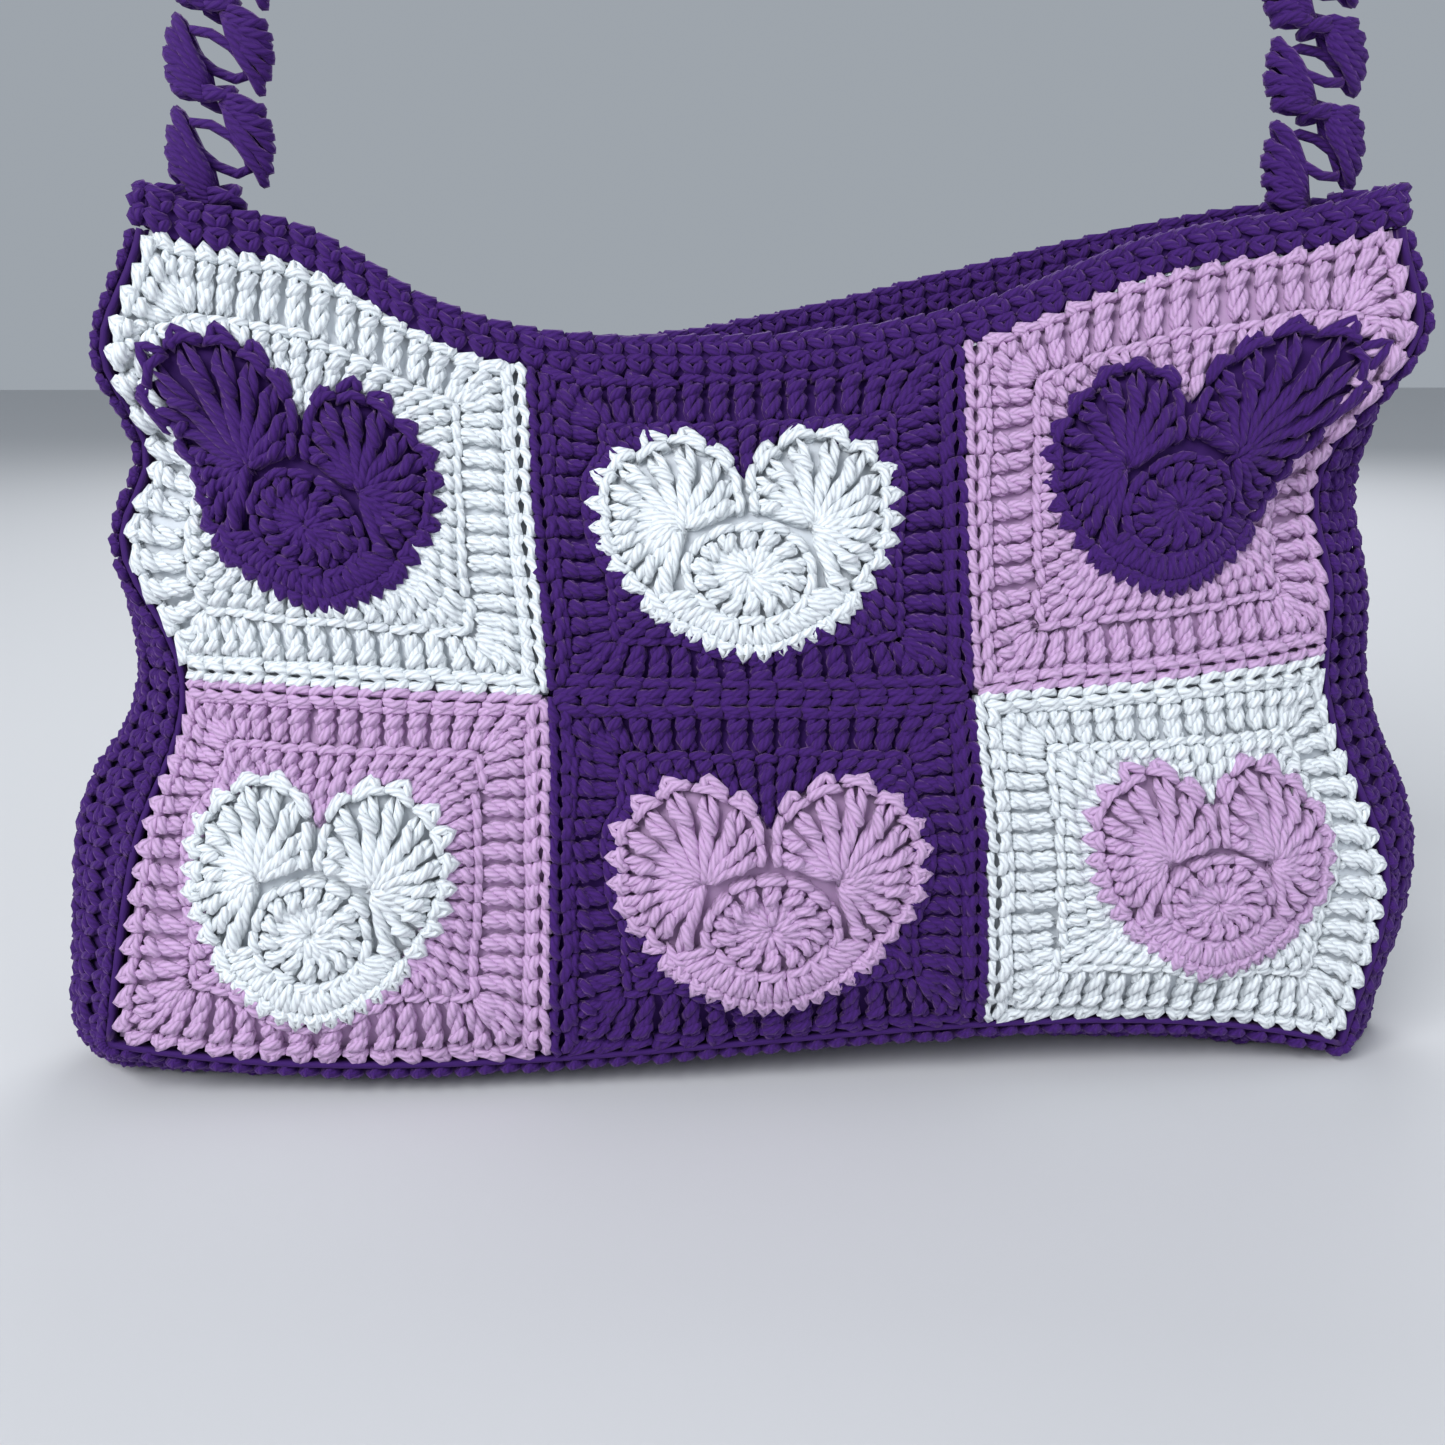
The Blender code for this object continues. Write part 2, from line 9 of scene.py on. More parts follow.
import bpy
import numpy as np
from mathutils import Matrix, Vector


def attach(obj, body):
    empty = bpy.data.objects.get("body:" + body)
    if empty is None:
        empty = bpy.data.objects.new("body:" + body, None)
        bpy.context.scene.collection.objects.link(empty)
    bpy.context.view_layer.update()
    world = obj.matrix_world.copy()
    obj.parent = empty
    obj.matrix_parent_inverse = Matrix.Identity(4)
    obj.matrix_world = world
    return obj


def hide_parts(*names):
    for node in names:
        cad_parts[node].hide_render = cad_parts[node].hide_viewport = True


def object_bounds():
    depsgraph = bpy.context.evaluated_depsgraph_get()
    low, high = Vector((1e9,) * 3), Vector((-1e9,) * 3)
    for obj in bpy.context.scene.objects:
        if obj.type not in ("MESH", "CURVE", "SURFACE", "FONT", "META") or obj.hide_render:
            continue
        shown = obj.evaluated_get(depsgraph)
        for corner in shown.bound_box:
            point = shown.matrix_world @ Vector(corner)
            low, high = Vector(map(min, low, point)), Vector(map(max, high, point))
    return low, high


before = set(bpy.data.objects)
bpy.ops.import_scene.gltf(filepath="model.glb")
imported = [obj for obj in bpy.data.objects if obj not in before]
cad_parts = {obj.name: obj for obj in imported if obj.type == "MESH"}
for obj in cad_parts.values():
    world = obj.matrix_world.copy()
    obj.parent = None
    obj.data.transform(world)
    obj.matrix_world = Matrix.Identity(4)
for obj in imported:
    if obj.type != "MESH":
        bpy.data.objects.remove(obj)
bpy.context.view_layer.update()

# Driving dimensions, the same as the frame's
BODY_WIDTH = 0.360
BODY_HEIGHT = 0.240
BODY_DEPTH = 0.062
WALL = 0.0045
SEAM_GAP = 0.0004
RIM_HEIGHT = 0.0105
RIM_WALL = 0.0055
STRAP_DROP = 0.205
STRAP_WALL = 0.008
STRAP_INSET = 0.008
CLUSTER_PITCH = 0.022
LINING_WALL = 0.001
LINING_EASE = 0.0045
GUSSET_REACH = 0.020

# Each panel is three squares wide (u from 0 to 3) and two squares high (v from 0 to 2)
COLUMNS = ("left", "middle", "right")
ROWS = ("bottom", "top")
LEVEL_STEP = 0.5

# A row for each level of a panel, from its bottom edge to its top edge, each with the panel's left edge,
# left seam, right seam and right edge: across in shares of half BODY_WIDTH, up in shares of BODY_HEIGHT
# and depth in shares of BODY_DEPTH, less than nothing towards the front
Level = namedtuple("Level", "across up depth")
PANELS = {
    "front": (
        Level((-0.98, -0.33, 0.34, 0.92), (0.070, 0.042, 0.067, 0.025), (-0.53, -0.54, -0.50, -0.46)),
        Level((-0.93, -0.32, 0.33, 0.98), (0.288, 0.262, 0.266, 0.235), (-0.42, -0.55, -0.55, -0.37)),
        Level((-0.86, -0.32, 0.31, 0.86), (0.471, 0.454, 0.450, 0.483), (-0.28, -0.40, -0.40, -0.22)),
        Level((-0.93, -0.34, 0.31, 0.87), (0.725, 0.629, 0.638, 0.712), (0.00, -0.13, -0.13, 0.03)),
        Level((-0.885, -0.355, 0.33, 0.95), (0.946, 0.800, 0.820, 0.954), (0.10, 0.24, 0.29, 0.13)),
    ),
    "back": (
        Level((-0.99, -0.33, 0.34, 0.93), (0.080, 0.046, 0.055, 0.042), (0.45, 0.50, 0.50, 0.42)),
        Level((-0.96, -0.32, 0.33, 0.98), (0.275, 0.258, 0.258, 0.250), (0.55, 0.61, 0.61, 0.52)),
        Level((-0.92, -0.32, 0.32, 0.89), (0.475, 0.454, 0.458, 0.475), (0.48, 0.61, 0.61, 0.45)),
        Level((-0.91, -0.335, 0.32, 0.91), (0.708, 0.617, 0.660, 0.717), (0.52, 0.68, 0.71, 0.48)),
        Level((-0.905, -0.345, 0.33, 0.955), (0.946, 0.783, 0.868, 0.950), (0.55, 0.71, 0.76, 0.55)),
    ),
}

# A row for each fold or pull of the cloth: its middle and its reach in squares, and how far it moves the
# cloth: across in shares of BODY_WIDTH, up in shares of BODY_HEIGHT and out in shares of BODY_DEPTH
Fold = namedtuple("Fold", "u v reach_u reach_v across up out")
FOLDS = {
    "front": (
        Fold(0.45, 2.00, 0.30, 0.36, 0.000, 0.056, 0.00),
        Fold(2.45, 2.00, 0.34, 0.40, 0.000, 0.038, 0.00),
        Fold(0.00, 1.72, 0.30, 0.18, -0.012, 0.000, 0.10),
        Fold(0.00, 1.48, 0.24, 0.12, 0.014, 0.000, -0.12),
        Fold(0.02, 1.26, 0.30, 0.16, -0.021, 0.000, 0.04),
        Fold(0.00, 0.98, 0.22, 0.40, 0.000, 0.000, -0.14),
        Fold(3.00, 1.74, 0.34, 0.20, 0.042, 0.000, 0.10),
        Fold(2.97, 1.38, 0.26, 0.20, 0.000, 0.000, -0.20),
        Fold(3.00, 1.20, 0.30, 0.24, 0.018, 0.000, 0.00),
        Fold(3.00, 0.80, 0.24, 0.30, 0.000, 0.000, -0.14),
        Fold(0.55, 0.14, 0.45, 0.10, 0.000, 0.000, 0.06),
        Fold(1.50, 0.16, 0.60, 0.10, 0.000, 0.000, 0.07),
        Fold(2.40, 0.16, 0.40, 0.10, 0.000, 0.000, 0.08),
    ),
    "back": (
        Fold(0.30, 2.00, 0.34, 0.40, 0.000, 0.020, 0.00),
        Fold(0.00, 1.10, 0.25, 0.60, 0.000, 0.000, -0.10),
        Fold(3.00, 1.10, 0.25, 0.60, 0.000, 0.000, -0.10),
        Fold(1.50, 0.16, 0.80, 0.12, 0.000, 0.000, 0.05),
        Fold(1.10, 1.70, 0.50, 0.18, 0.000, 0.000, -0.06),
    ),
}
PILLOW = 0.085

# The right half of a heart's outline: angle above level in degrees, and reach in shares of half a square
HEART_ANGLES = (-90, -60, -30, 0, 30, 60, 75, 90)
HEART_REACHES = (0.74, 0.68, 0.64, 0.68, 0.77, 0.75, 0.60, 0.36)
# A row for each front square: its heart's middle and its width and height, as stretched cloth shows them
HeartPlace = namedtuple("HeartPlace", "a b wide high")
HEART_PLACES = {
    ("top", "left"): HeartPlace(-0.07, 0.02, 0.90, 0.80),
    ("top", "middle"): HeartPlace(-0.03, -0.01, 0.97, 0.97),
    ("top", "right"): HeartPlace(0.06, 0.06, 0.94, 0.80),
    ("bottom", "left"): HeartPlace(-0.10, -0.10, 0.90, 0.92),
    ("bottom", "middle"): HeartPlace(0.00, -0.08, 1.00, 0.95),
    ("bottom", "right"): HeartPlace(0.09, -0.02, 0.86, 0.88),
}
PLAIN_PLACE = HeartPlace(0.0, 0.0, 0.95, 0.95)
LOBE_PULL = 0.24
LOBE_ANGLE = 34.0
LOBE_SPREAD = 28.0

# How far the gusset stands out from the squares' edges, in shares of GUSSET_REACH, at places along it
GUSSET_PLACES = (0.0, 0.5, 1.0, 1.5, 2.0, 2.5, 3.0, 4.0, 4.6, 5.0, 5.5, 6.0, 6.5, 7.0)
GUSSET_OUTS = (-0.60, 0.05, 0.45, 1.00, 0.85, 0.60, 0.52, 0.52, 0.60, 0.85, 0.85, 0.75, 0.50, -0.60)
GUSSET_STEPS = 6

# The squares' yarns, seen from outside each panel from left to right: surround and heart
PATTERN = {
    "top": (("white", "purple"), ("purple", "white"), ("lilac", "purple")),
    "bottom": (("lilac", "white"), ("purple", "lilac"), ("white", "lilac")),
}

MM = 0.001
BACKING_WALL = 0.8 * MM

# Yarn: its colours, its radius and its twist
YARNS = {
    "purple": (0.045, 0.008, 0.135),
    "lilac": (0.58, 0.38, 0.62),
    "white": (0.80, 0.84, 0.92),
}
SHEENS = {
    "purple": (0.62, 0.35, 0.80),
    "lilac": (0.95, 0.80, 1.00),
    "white": (0.95, 0.97, 1.00),
}
LINING_COLOUR = (0.030, 0.026, 0.052)
SPECKLE_COLOUR = (0.12, 0.11, 0.17)
# Painted shade and highlight: the yarn's colour runs from the first share of itself in the grooves between
# plies to the second on the plies' crests, mixed with fibre noise and random patches of tone
DARKEST_YARN_WITH_GROOVE_SHADE = 0.62
LIGHTEST_YARN_WITH_CREST_HIGHLIGHT = 1.18
YARN_RADIUS = 0.00145
YARN_SIDES = 5
PLIES = 4
PLY_PITCH = 0.0030

# Rounds of a square, in shares of half a square
STITCHES_A_SIDE = 15
ROUND_A_STITCHES = 13
ROUND_A_EDGE = 0.655
ROUND_A_CLEARANCE = 0.05
ROUND_A_LIMIT = 0.84
ROUND_A_SHORTEST = 0.08
SHORT_BELOW = 0.12
TREBLE_FROM = 0.24
ROUND_B_BASE = 0.69
ROUND_B_CLEARANCE = 0.08
ROUND_B_LIMIT = 0.87
SEAM_BASE = 0.90
SEAM_EDGE = 1.0
OUTER_EDGE = 0.955
TOOTH_REACH = 0.055
HOLE_PLACE = 0.675
HOLE_REACH = 0.060
BACKING_EDGE = 0.995
PANEL_STEPS = 40

# Parts of a heart, in shares of half a square from its middle, with angles in degrees
DISC_MIDDLE = (0.0, -0.26)
DISC_HOLE = 0.03
DISC_EDGE = 0.30
DISC_STITCHES = 14
LOBE_MIDDLE = (0.30, 0.02)
LOBE_HOLE = 0.035
LOBE_FAN = (-70, 172)
LOBE_STITCHES = 13
CLEFT_GAP = 0.015
LOWER_FAN = (196, 344)
LOWER_STITCHES = 14
LOWER_BASE = 0.29

# Shares of the way to a heart's outline: its stitches, its teeth, the surround under it and its backing
LOBE_SHARE = 0.93
LOWER_SHARE = 0.95
TEETH_SHARES = (0.95, 1.05)
UNDER_HEART = 0.96
BACKING_SHARE = 0.97


def axes_of(side):
    """The panel's up direction and its outward direction, both square to the bag's width."""
    bottom = PANELS[side][0]
    top = PANELS[side][-1]
    rise = BODY_HEIGHT * (sum(top.up) - sum(bottom.up))
    lean = BODY_DEPTH * (sum(top.depth) - sum(bottom.depth))
    up = np.array((0.0, lean, rise)) / math.hypot(lean, rise)
    out = np.array((0.0, -up[2], up[1])) if side == "front" else np.array((0.0, up[2], -up[1]))
    return up, out


def smooth_between(values, place):
    """A smooth curve through evenly spaced rows of values, read at places counted in steps."""
    padded = np.vstack([2 * values[0] - values[1], values, 2 * values[-1] - values[-2]])
    step = np.clip(np.floor(place).astype(int), 0, len(values) - 2)
    share = place - step
    index = np.arange(len(place))
    before, start, end, after = (padded[step + k, index] for k in range(4))
    return 0.5 * (
        2 * start
        + (end - before) * share
        + (2 * before - 5 * start + 4 * end - after) * share**2
        + (3 * start - before - 3 * end + after) * share**3
    )


def panel_points(side, u, v):
    """The middle of a panel's cloth at places u and v, above the bag's bottom."""
    weights = np.array((
        -(u - 1) * (u - 2) * (u - 3) / 6,
        u * (u - 2) * (u - 3) / 2,
        -u * (u - 1) * (u - 3) / 2,
        u * (u - 1) * (u - 2) / 6,
    ))

    def read(column):
        rows = np.array([getattr(level, column) for level in PANELS[side]])
        return smooth_between(rows @ weights, v / LEVEL_STEP)

    points = np.column_stack((
        read("across") * BODY_WIDTH / 2,
        read("depth") * BODY_DEPTH,
        read("up") * BODY_HEIGHT,
    ))
    up, out = axes_of(side)
    pillow = PILLOW * BODY_DEPTH * (np.sin(math.pi * u) * np.sin(math.pi * v)) ** 2
    points += np.outer(pillow, out)
    for fold in FOLDS[side]:
        distance = ((u - fold.u) / fold.reach_u) ** 2 + ((v - fold.v) / fold.reach_v) ** 2
        across = np.array((fold.across * BODY_WIDTH, 0, 0))
        move = across + up * fold.up * BODY_HEIGHT + out * fold.out * BODY_DEPTH
        points += np.outer(np.exp(-distance), move)
    return points


def gusset_place(along):
    """The squares' edge (u, v) at places along the gusset, and the angle that the gusset has turned there."""
    corner = 0.5
    knots = (0, 2, 2 + corner, 5 + corner, 5 + 2 * corner, 7 + 2 * corner)
    u = np.interp(along, knots, (0, 0, 0, 3, 3, 3))
    v = np.interp(along, knots, (2, 0, 0, 0, 0, 2))
    turned = np.interp(along, knots, (0, 0, 90, 90, 180, 180))
    plain = np.interp(along, knots, (0, 2, 2, 5, 5, 7))
    return u, v, turned, plain


def gusset_sections(u, v, turned, plain):
    """Inner and outer points of the gusset's sections, from the front panel's edge to the back panel's."""
    radians = np.radians(turned)
    edges = {}
    for side in ("front", "back"):
        up, out = axes_of(side)
        away = np.outer(-np.cos(radians), (1, 0, 0)) - np.outer(np.sin(radians), up)
        edges[side] = (panel_points(side, u, v), out, away)
    front, front_out, front_away = edges["front"]
    back, back_out, back_away = edges["back"]
    behind = WALL / 2 + 2 * SEAM_GAP
    start = front - front_out * behind + front_away * SEAM_GAP
    end = back - back_out * behind + back_away * SEAM_GAP
    swell = GUSSET_REACH * smooth_table(plain, GUSSET_PLACES, GUSSET_OUTS)
    inner = [front + front_out * WALL / 2 + front_away * SEAM_GAP]
    aways = [front_away]
    for k in range(GUSSET_STEPS + 1):
        share = k / GUSSET_STEPS
        away = front_away + (back_away - front_away) * share
        inner.append(start + (end - start) * share + away * (swell * math.sin(math.pi * share))[:, None])
        aways.append(away)
    inner.append(back + back_out * WALL / 2 + back_away * SEAM_GAP)
    aways.append(back_away)
    inner = np.stack(inner, axis=1)
    outer = inner + np.stack(aways, axis=1) * WALL
    outer[..., 2] = np.maximum(outer[..., 2], 0.0)
    inner[..., 2] = np.maximum(inner[..., 2], WALL)
    return inner, outer


def smooth_table(place, places, values):
    """A table's values between its places, eased in and out of each row."""
    places = np.array(places)
    step = np.clip(np.searchsorted(places, place, side="right") - 1, 0, len(places) - 2)
    share = (place - places[step]) / (places[step + 1] - places[step])
    share = share * share * (3 - 2 * share)
    low = np.array(values)[step]
    high = np.array(values)[step + 1]
    return low + (high - low) * share


def gusset_ends():
    """Inner and outer points of the gusset at its two top ends, the left one first."""
    u = np.array((0.0, 3.0))
    v = np.array((2.0, 2.0))
    return gusset_sections(u, v, np.array((0.0, 180.0)), np.array((0.0, 7.0)))


def strap_feet():
    """Where the strap's two ends stand: the middle of the rim's top over each end of the gusset."""
    inner, outer = gusset_ends()
    middle = inner.shape[1] // 2
    feet = (inner[:, middle] + outer[:, middle]) / 2
    feet[:, 0] += np.where(feet[:, 0] < 0, STRAP_INSET, -STRAP_INSET)
    feet[:, 2] += RIM_HEIGHT + 2 * SEAM_GAP
    return feet


FEET = strap_feet()
ARCH_SPAN = (FEET[1, 0] - FEET[0, 0]) / 2
ARCH_HEIGHT = STRAP_DROP + STRAP_WALL / 2
ARCH_MIDDLE = np.array(((FEET[0, 0] + FEET[1, 0]) / 2, (FEET[0, 1] + FEET[1, 1]) / 2, FEET[:, 2].max()))
SHIFT = -(ARCH_MIDDLE + np.array((0.0, 0.0, STRAP_DROP)))


class Surface:
    """A grid of points with outward directions, read between its points at any place and height."""

    def __init__(self, points, outward):
        self.points = points
        down = np.gradient(points, axis=0)
        across = np.gradient(points, axis=1)
        normals = np.cross(down, across)
        normals /= np.maximum(np.linalg.norm(normals, axis=2, keepdims=True), 1e-9)
        flip = np.sign(np.sum(normals * outward, axis=2, keepdims=True))
        self.normals = normals * np.where(flip == 0, 1, flip)

    def at(self, x, y, height):
        rows, columns = self.points.shape[:2]
        i = np.clip(np.floor(x).astype(int), 0, rows - 2)
        j = np.clip(np.floor(y).astype(int), 0, columns - 2)
        s = (x - i)[..., None]
        t = (y - j)[..., None]

        def blend(values):
            near = values[i, j] * (1 - t) + values[i, j + 1] * t
            far = values[i + 1, j] * (1 - t) + values[i + 1, j + 1] * t
            return near * (1 - s) + far * s

        return blend(self.points) + blend(self.normals) * height[..., None]


def panel_surface(side):
    """The middle of a whole panel's cloth, in the frame's place."""
    across = np.arange(3 * PANEL_STEPS + 1) / PANEL_STEPS
    up = np.arange(2 * PANEL_STEPS + 1) / PANEL_STEPS
    u, v = np.meshgrid(across, up, indexing="ij")
    points = panel_points(side, u.ravel(), v.ravel()).reshape(*u.shape, 3) + SHIFT
    return Surface(points, axes_of(side)[1])


def resampled(line, count):
    """Points spaced evenly by length along each of many lines."""
    steps = np.linalg.norm(np.diff(line, axis=1), axis=2)
    lengths = np.concatenate([np.zeros((len(line), 1)), np.cumsum(steps, axis=1)], axis=1)
    made = []
    for points, length in zip(line, lengths):
        goals = np.linspace(0, length[-1], count)
        made.append(np.column_stack([np.interp(goals, length, points[:, k]) for k in range(3)]))
    return np.array(made)


class Yarn:
    """Gathers strands and thin backing cloth, and makes one mesh of them."""

    def __init__(self):
        self.points = []
        self.faces = []
        self.uvs = []
        self.count = 0

    def add(self, points, loops, sizes, uvs):
        """Keeps points and the faces between them."""
        self.points.append(points)
        self.faces.append((loops + self.count, sizes))
        self.uvs.append(uvs)
        self.count += len(points)

    def strands(self, paths, radius):
        """Tubes round many paths of equal point counts, drawn to a point at both ends."""
        strands, length = paths.shape[:2]
        rings = length - 2
        tangents = np.gradient(paths, axis=1)
        tangents /= np.maximum(np.linalg.norm(tangents, axis=2, keepdims=True), 1e-9)
        start = np.cross(tangents[:, 0], np.array((0.31, 0.52, 0.79)))
        normal = start / np.linalg.norm(start, axis=1, keepdims=True)
        angles = 2 * math.pi * np.arange(YARN_SIDES) / YARN_SIDES
        layers = []
        for k in range(1, length - 1):
            tangent = tangents[:, k]
            normal = normal - tangent * np.sum(normal * tangent, axis=1, keepdims=True)
            normal /= np.maximum(np.linalg.norm(normal, axis=1, keepdims=True), 1e-9)
            side = np.cross(tangent, normal)
            ring = normal[:, None] * np.cos(angles)[:, None] + side[:, None] * np.sin(angles)[:, None]
            layers.append(paths[:, k, None] + ring * radius)
        body = np.stack(layers, axis=1).reshape(strands, rings * YARN_SIDES, 3)
        points = np.concatenate([body, paths[:, :1], paths[:, -1:]], axis=1).reshape(-1, 3)
        each = rings * YARN_SIDES + 2
        spans = np.linalg.norm(np.diff(paths, axis=1), axis=2)
        reach = np.concatenate([np.zeros((strands, 1)), np.cumsum(spans, axis=1)], axis=1)
        k = np.arange(YARN_SIDES)
        m = (k + 1) % YARN_SIDES
        band = np.column_stack([k, m, m + YARN_SIDES, k + YARN_SIDES])
        quads = np.concatenate([r * YARN_SIDES + band for r in range(rings - 1)])
        last = (rings - 1) * YARN_SIDES
        first_cap = np.column_stack([np.full(YARN_SIDES, each - 2), m, k])
        last_cap = np.column_stack([np.full(YARN_SIDES, each - 1), last + k, last + m])
        loops = np.concatenate([quads.ravel(), first_cap.ravel(), last_cap.ravel()])
        sizes = np.concatenate([np.full(len(quads), 4), np.full(2 * YARN_SIDES, 3)])
        around = k / YARN_SIDES
        next_around = (k + 1) / YARN_SIDES
        quad_rows = np.concatenate([
            np.column_stack([np.full(YARN_SIDES, r + 1), np.full(YARN_SIDES, r + 1),
                             np.full(YARN_SIDES, r + 2), np.full(YARN_SIDES, r + 2)])
            for r in range(rings - 1)
        ]).ravel()
        quad_round = np.tile(np.column_stack([around, next_around, next_around, around]).ravel(), rings - 1)
        cap_round = np.column_stack([around, next_around, around]).ravel()
        end_round = np.column_stack([around, around, next_around]).ravel()
        rows = np.concatenate([
            quad_rows,
            np.tile((0, 1, 1), YARN_SIDES),
            np.tile((length - 1, length - 2, length - 2), YARN_SIDES),
        ])
        round_share = np.concatenate([quad_round, cap_round, end_round])
        along = reach[:, rows]
        uvs = np.stack([along, np.broadcast_to(round_share, along.shape)], axis=2).reshape(-1, 2)
        offsets = (np.arange(strands) * each)[:, None]
        self.add(points, (loops[None] + offsets).ravel(), np.tile(sizes, strands), uvs)

    def backing(self, points, normals, quads, wall):
        """A thin closed sheet under the stitches."""
        low = points - normals * wall
        count = len(points)
        edges = {}
        for quad in quads:
            for near, far in zip(quad, np.roll(quad, -1)):
                edges[near, far] = True
        rims = [(near, far) for near, far in edges if (far, near) not in edges]
        sides = np.array([(far, near, near + count, far + count) for near, far in rims])
        faces = np.concatenate([quads, quads[:, ::-1] + count, sides])
        both = np.concatenate([points, low])
        uvs = np.zeros((faces.size, 2))
        self.add(both, faces.ravel(), np.full(len(faces), 4), uvs)

    def mesh(self, name):
        """One smooth mesh of all that was gathered."""
        points = np.concatenate(self.points)
        loops = np.concatenate([loops for loops, sizes in self.faces])
        sizes = np.concatenate([sizes for loops, sizes in self.faces])
        mesh = bpy.data.meshes.new(name)
        mesh.vertices.add(len(points))
        mesh.vertices.foreach_set("co", points.astype(np.float32).ravel())
        mesh.loops.add(len(loops))
        mesh.loops.foreach_set("vertex_index", loops.astype(np.int32))
        mesh.polygons.add(len(sizes))
        mesh.polygons.foreach_set("loop_start", (np.cumsum(sizes) - sizes).astype(np.int32))
        layer = mesh.uv_layers.new(name="yarn")
        layer.data.foreach_set("uv", np.concatenate(self.uvs).astype(np.float32).ravel())
        mesh.update(calc_edges=True)
        mesh.validate()
        mesh.shade_smooth()
        return mesh


def strand(*points):
    """A strand in a stitch's cell: across and up in shares of the cell, and out in millimetres."""
    return np.array(points, float) * np.array((1, 1, MM))


def post(turns, low, high, count, phase, spread, lift, depth):
    """One of a post's three strands, which turn round each other."""
    t = np.linspace(low, high, count)
    angle = 2 * math.pi * (turns * (t - low) / (high - low) + phase)
    return np.column_stack([-spread * np.sin(angle), t, (lift + depth * np.cos(angle)) * MM])


LOOPS = (
    strand((-0.62, 0.93, -0.3), (-0.40, 0.99, 0.9), (0.00, 1.02, 1.5), (0.36, 0.98, 1.0), (0.60, 0.92, -0.2)),
    strand(
        (-0.60, 0.95, -1.0), (-0.30, 1.02, -1.7), (0.10, 1.03, -1.8), (0.40, 0.98, -1.4), (0.62, 0.94, -0.6)
    ),
)
WRAP = strand(
    (0.40, -0.14, 0.1), (0.26, -0.09, 1.9), (0.00, 0.00, 2.6), (-0.26, 0.09, 1.9), (-0.40, 0.14, 0.1)
)


def wrapped(at):
    """A diagonal wrap round the front of a post, at a share of its height."""
    return WRAP + np.array((0.0, at, 0.0))


def rope(turns, low, high, count):
    """A post of three strands."""
    return tuple(post(turns, low, high, count, k / 3 + 0.1, 0.23, 0.0, 1.35) for k in range(3))


SHORT = (
    strand(
        (0.12, -0.16, -0.6), (0.06, 0.02, 1.0), (-0.14, 0.35, 1.9), (-0.28, 0.70, 1.7), (-0.34, 1.00, 0.3)
    ),
    strand((-0.12, -0.12, -0.6), (0.00, 0.10, 0.6), (0.18, 0.38, 1.4), (0.28, 0.72, 1.4), (0.34, 1.00, 0.3)),
    strand((0.0, -0.10, -1.3), (0.0, 0.20, -1.6), (0.0, 0.50, -1.7), (0.0, 0.75, -1.6), (0.0, 1.00, -1.2)),
) + LOOPS[:1]
DOUBLE = rope(0.95, -0.12, 1.02, 7) + (wrapped(0.66),) + LOOPS
TREBLE = rope(1.5, -0.08, 1.02, 9) + (wrapped(0.45), wrapped(0.74)) + LOOPS
TOOTH = (
    strand((-0.36, -0.60, 0.2), (-0.27, -0.10, 1.5), (-0.12, 0.60, 1.5), (0.0, 0.98, 1.1), (0.13, 0.60, 1.5),
           (0.28, -0.10, 1.5), (0.36, -0.60, 0.2)),
)
CHAIN = (
    strand((-0.58, 0.50, -0.2), (-0.34, 0.82, 1.0), (0.05, 0.88, 1.5), (0.40, 0.66, 1.4), (0.66, 0.50, 0.4)),
    strand((-0.58, 0.50, -0.2), (-0.34, 0.18, 1.0), (0.05, 0.12, 1.5), (0.40, 0.34, 1.4), (0.66, 0.50, 0.4)),
)


def cells_between(inner, outer):
    """Corners of the cells between two lines of places: base left, base right, top right, top left."""
    return np.stack([inner[:-1], inner[1:], outer[1:], outer[:-1]], axis=1)


def crochet(yarn, lay, cells, template, lift, rng, radius=YARN_RADIUS):
    """Works one stitch into each cell. lay turns places and heights into points."""
    sway = rng.normal(0, 0.035, (len(cells), 1, 3)) * np.array((1.0, 1.0, 5 * MM))
    for shape in template:
        local = shape[None] + sway
        s = local[..., 0:1] + 0.5
        t = local[..., 1:2]
        corners = cells[:, None]
        place = (
            corners[:, :, 0] * (1 - s) * (1 - t)
            + corners[:, :, 1] * s * (1 - t)
            + corners[:, :, 2] * s * t
            + corners[:, :, 3] * (1 - s) * t
        )
        yarn.strands(lay(place, local[..., 2] + lift), radius)


def heart_reach(angles, pull_side):
    """How far a heart reaches from its middle, at angles in degrees above the right."""
    angles = (angles + 180) % 360 - 180
    folded = np.where(np.abs(angles) <= 90, angles, 180 - angles)
    folded = np.where(folded > 180, folded - 360, folded)
    reach = smooth_table(folded, HEART_ANGLES, HEART_REACHES)
    if pull_side:
        middle = LOBE_ANGLE if pull_side > 0 else 180 - LOBE_ANGLE
        reach = reach + LOBE_PULL * np.exp(-(((angles - middle) / LOBE_SPREAD) ** 2))
    return reach


def heart_line(place, angles, pull_side, share):
    """Places on a heart's outline, or on the same outline drawn in or out by a share."""
    reach = heart_reach(angles, pull_side) * share
    radians = np.radians(angles)
    return np.column_stack([
        place.a + reach * place.wide * np.cos(radians),
        place.b + reach * place.high * np.sin(radians),
    ])


def angles_from(place, points):
    """The angles of points from a heart's middle, in the heart's own stretched shares."""
    rise = (points[:, 1] - place.b) / place.high
    run = (points[:, 0] - place.a) / place.wide
    return np.degrees(np.arctan2(rise, run))


def to_outline(place, pull_side, start, angles):
    """Where rays from a start first leave the heart."""
    radians = np.radians(angles)
    steps = np.linspace(0.02, 1.5, 149)
    rays = start + steps[None, :, None] * np.stack([np.cos(radians), np.sin(radians)], axis=1)[:, None]
    a = (rays[..., 0] - place.a) / place.wide
    b = (rays[..., 1] - place.b) / place.high
    reach = heart_reach(np.degrees(np.arctan2(b, a)), pull_side)
    inside = np.hypot(a, b) < reach
    inside[:, 0] = True
    first_out = np.argmax(~inside, axis=1)
    return rays[np.arange(len(angles)), first_out]


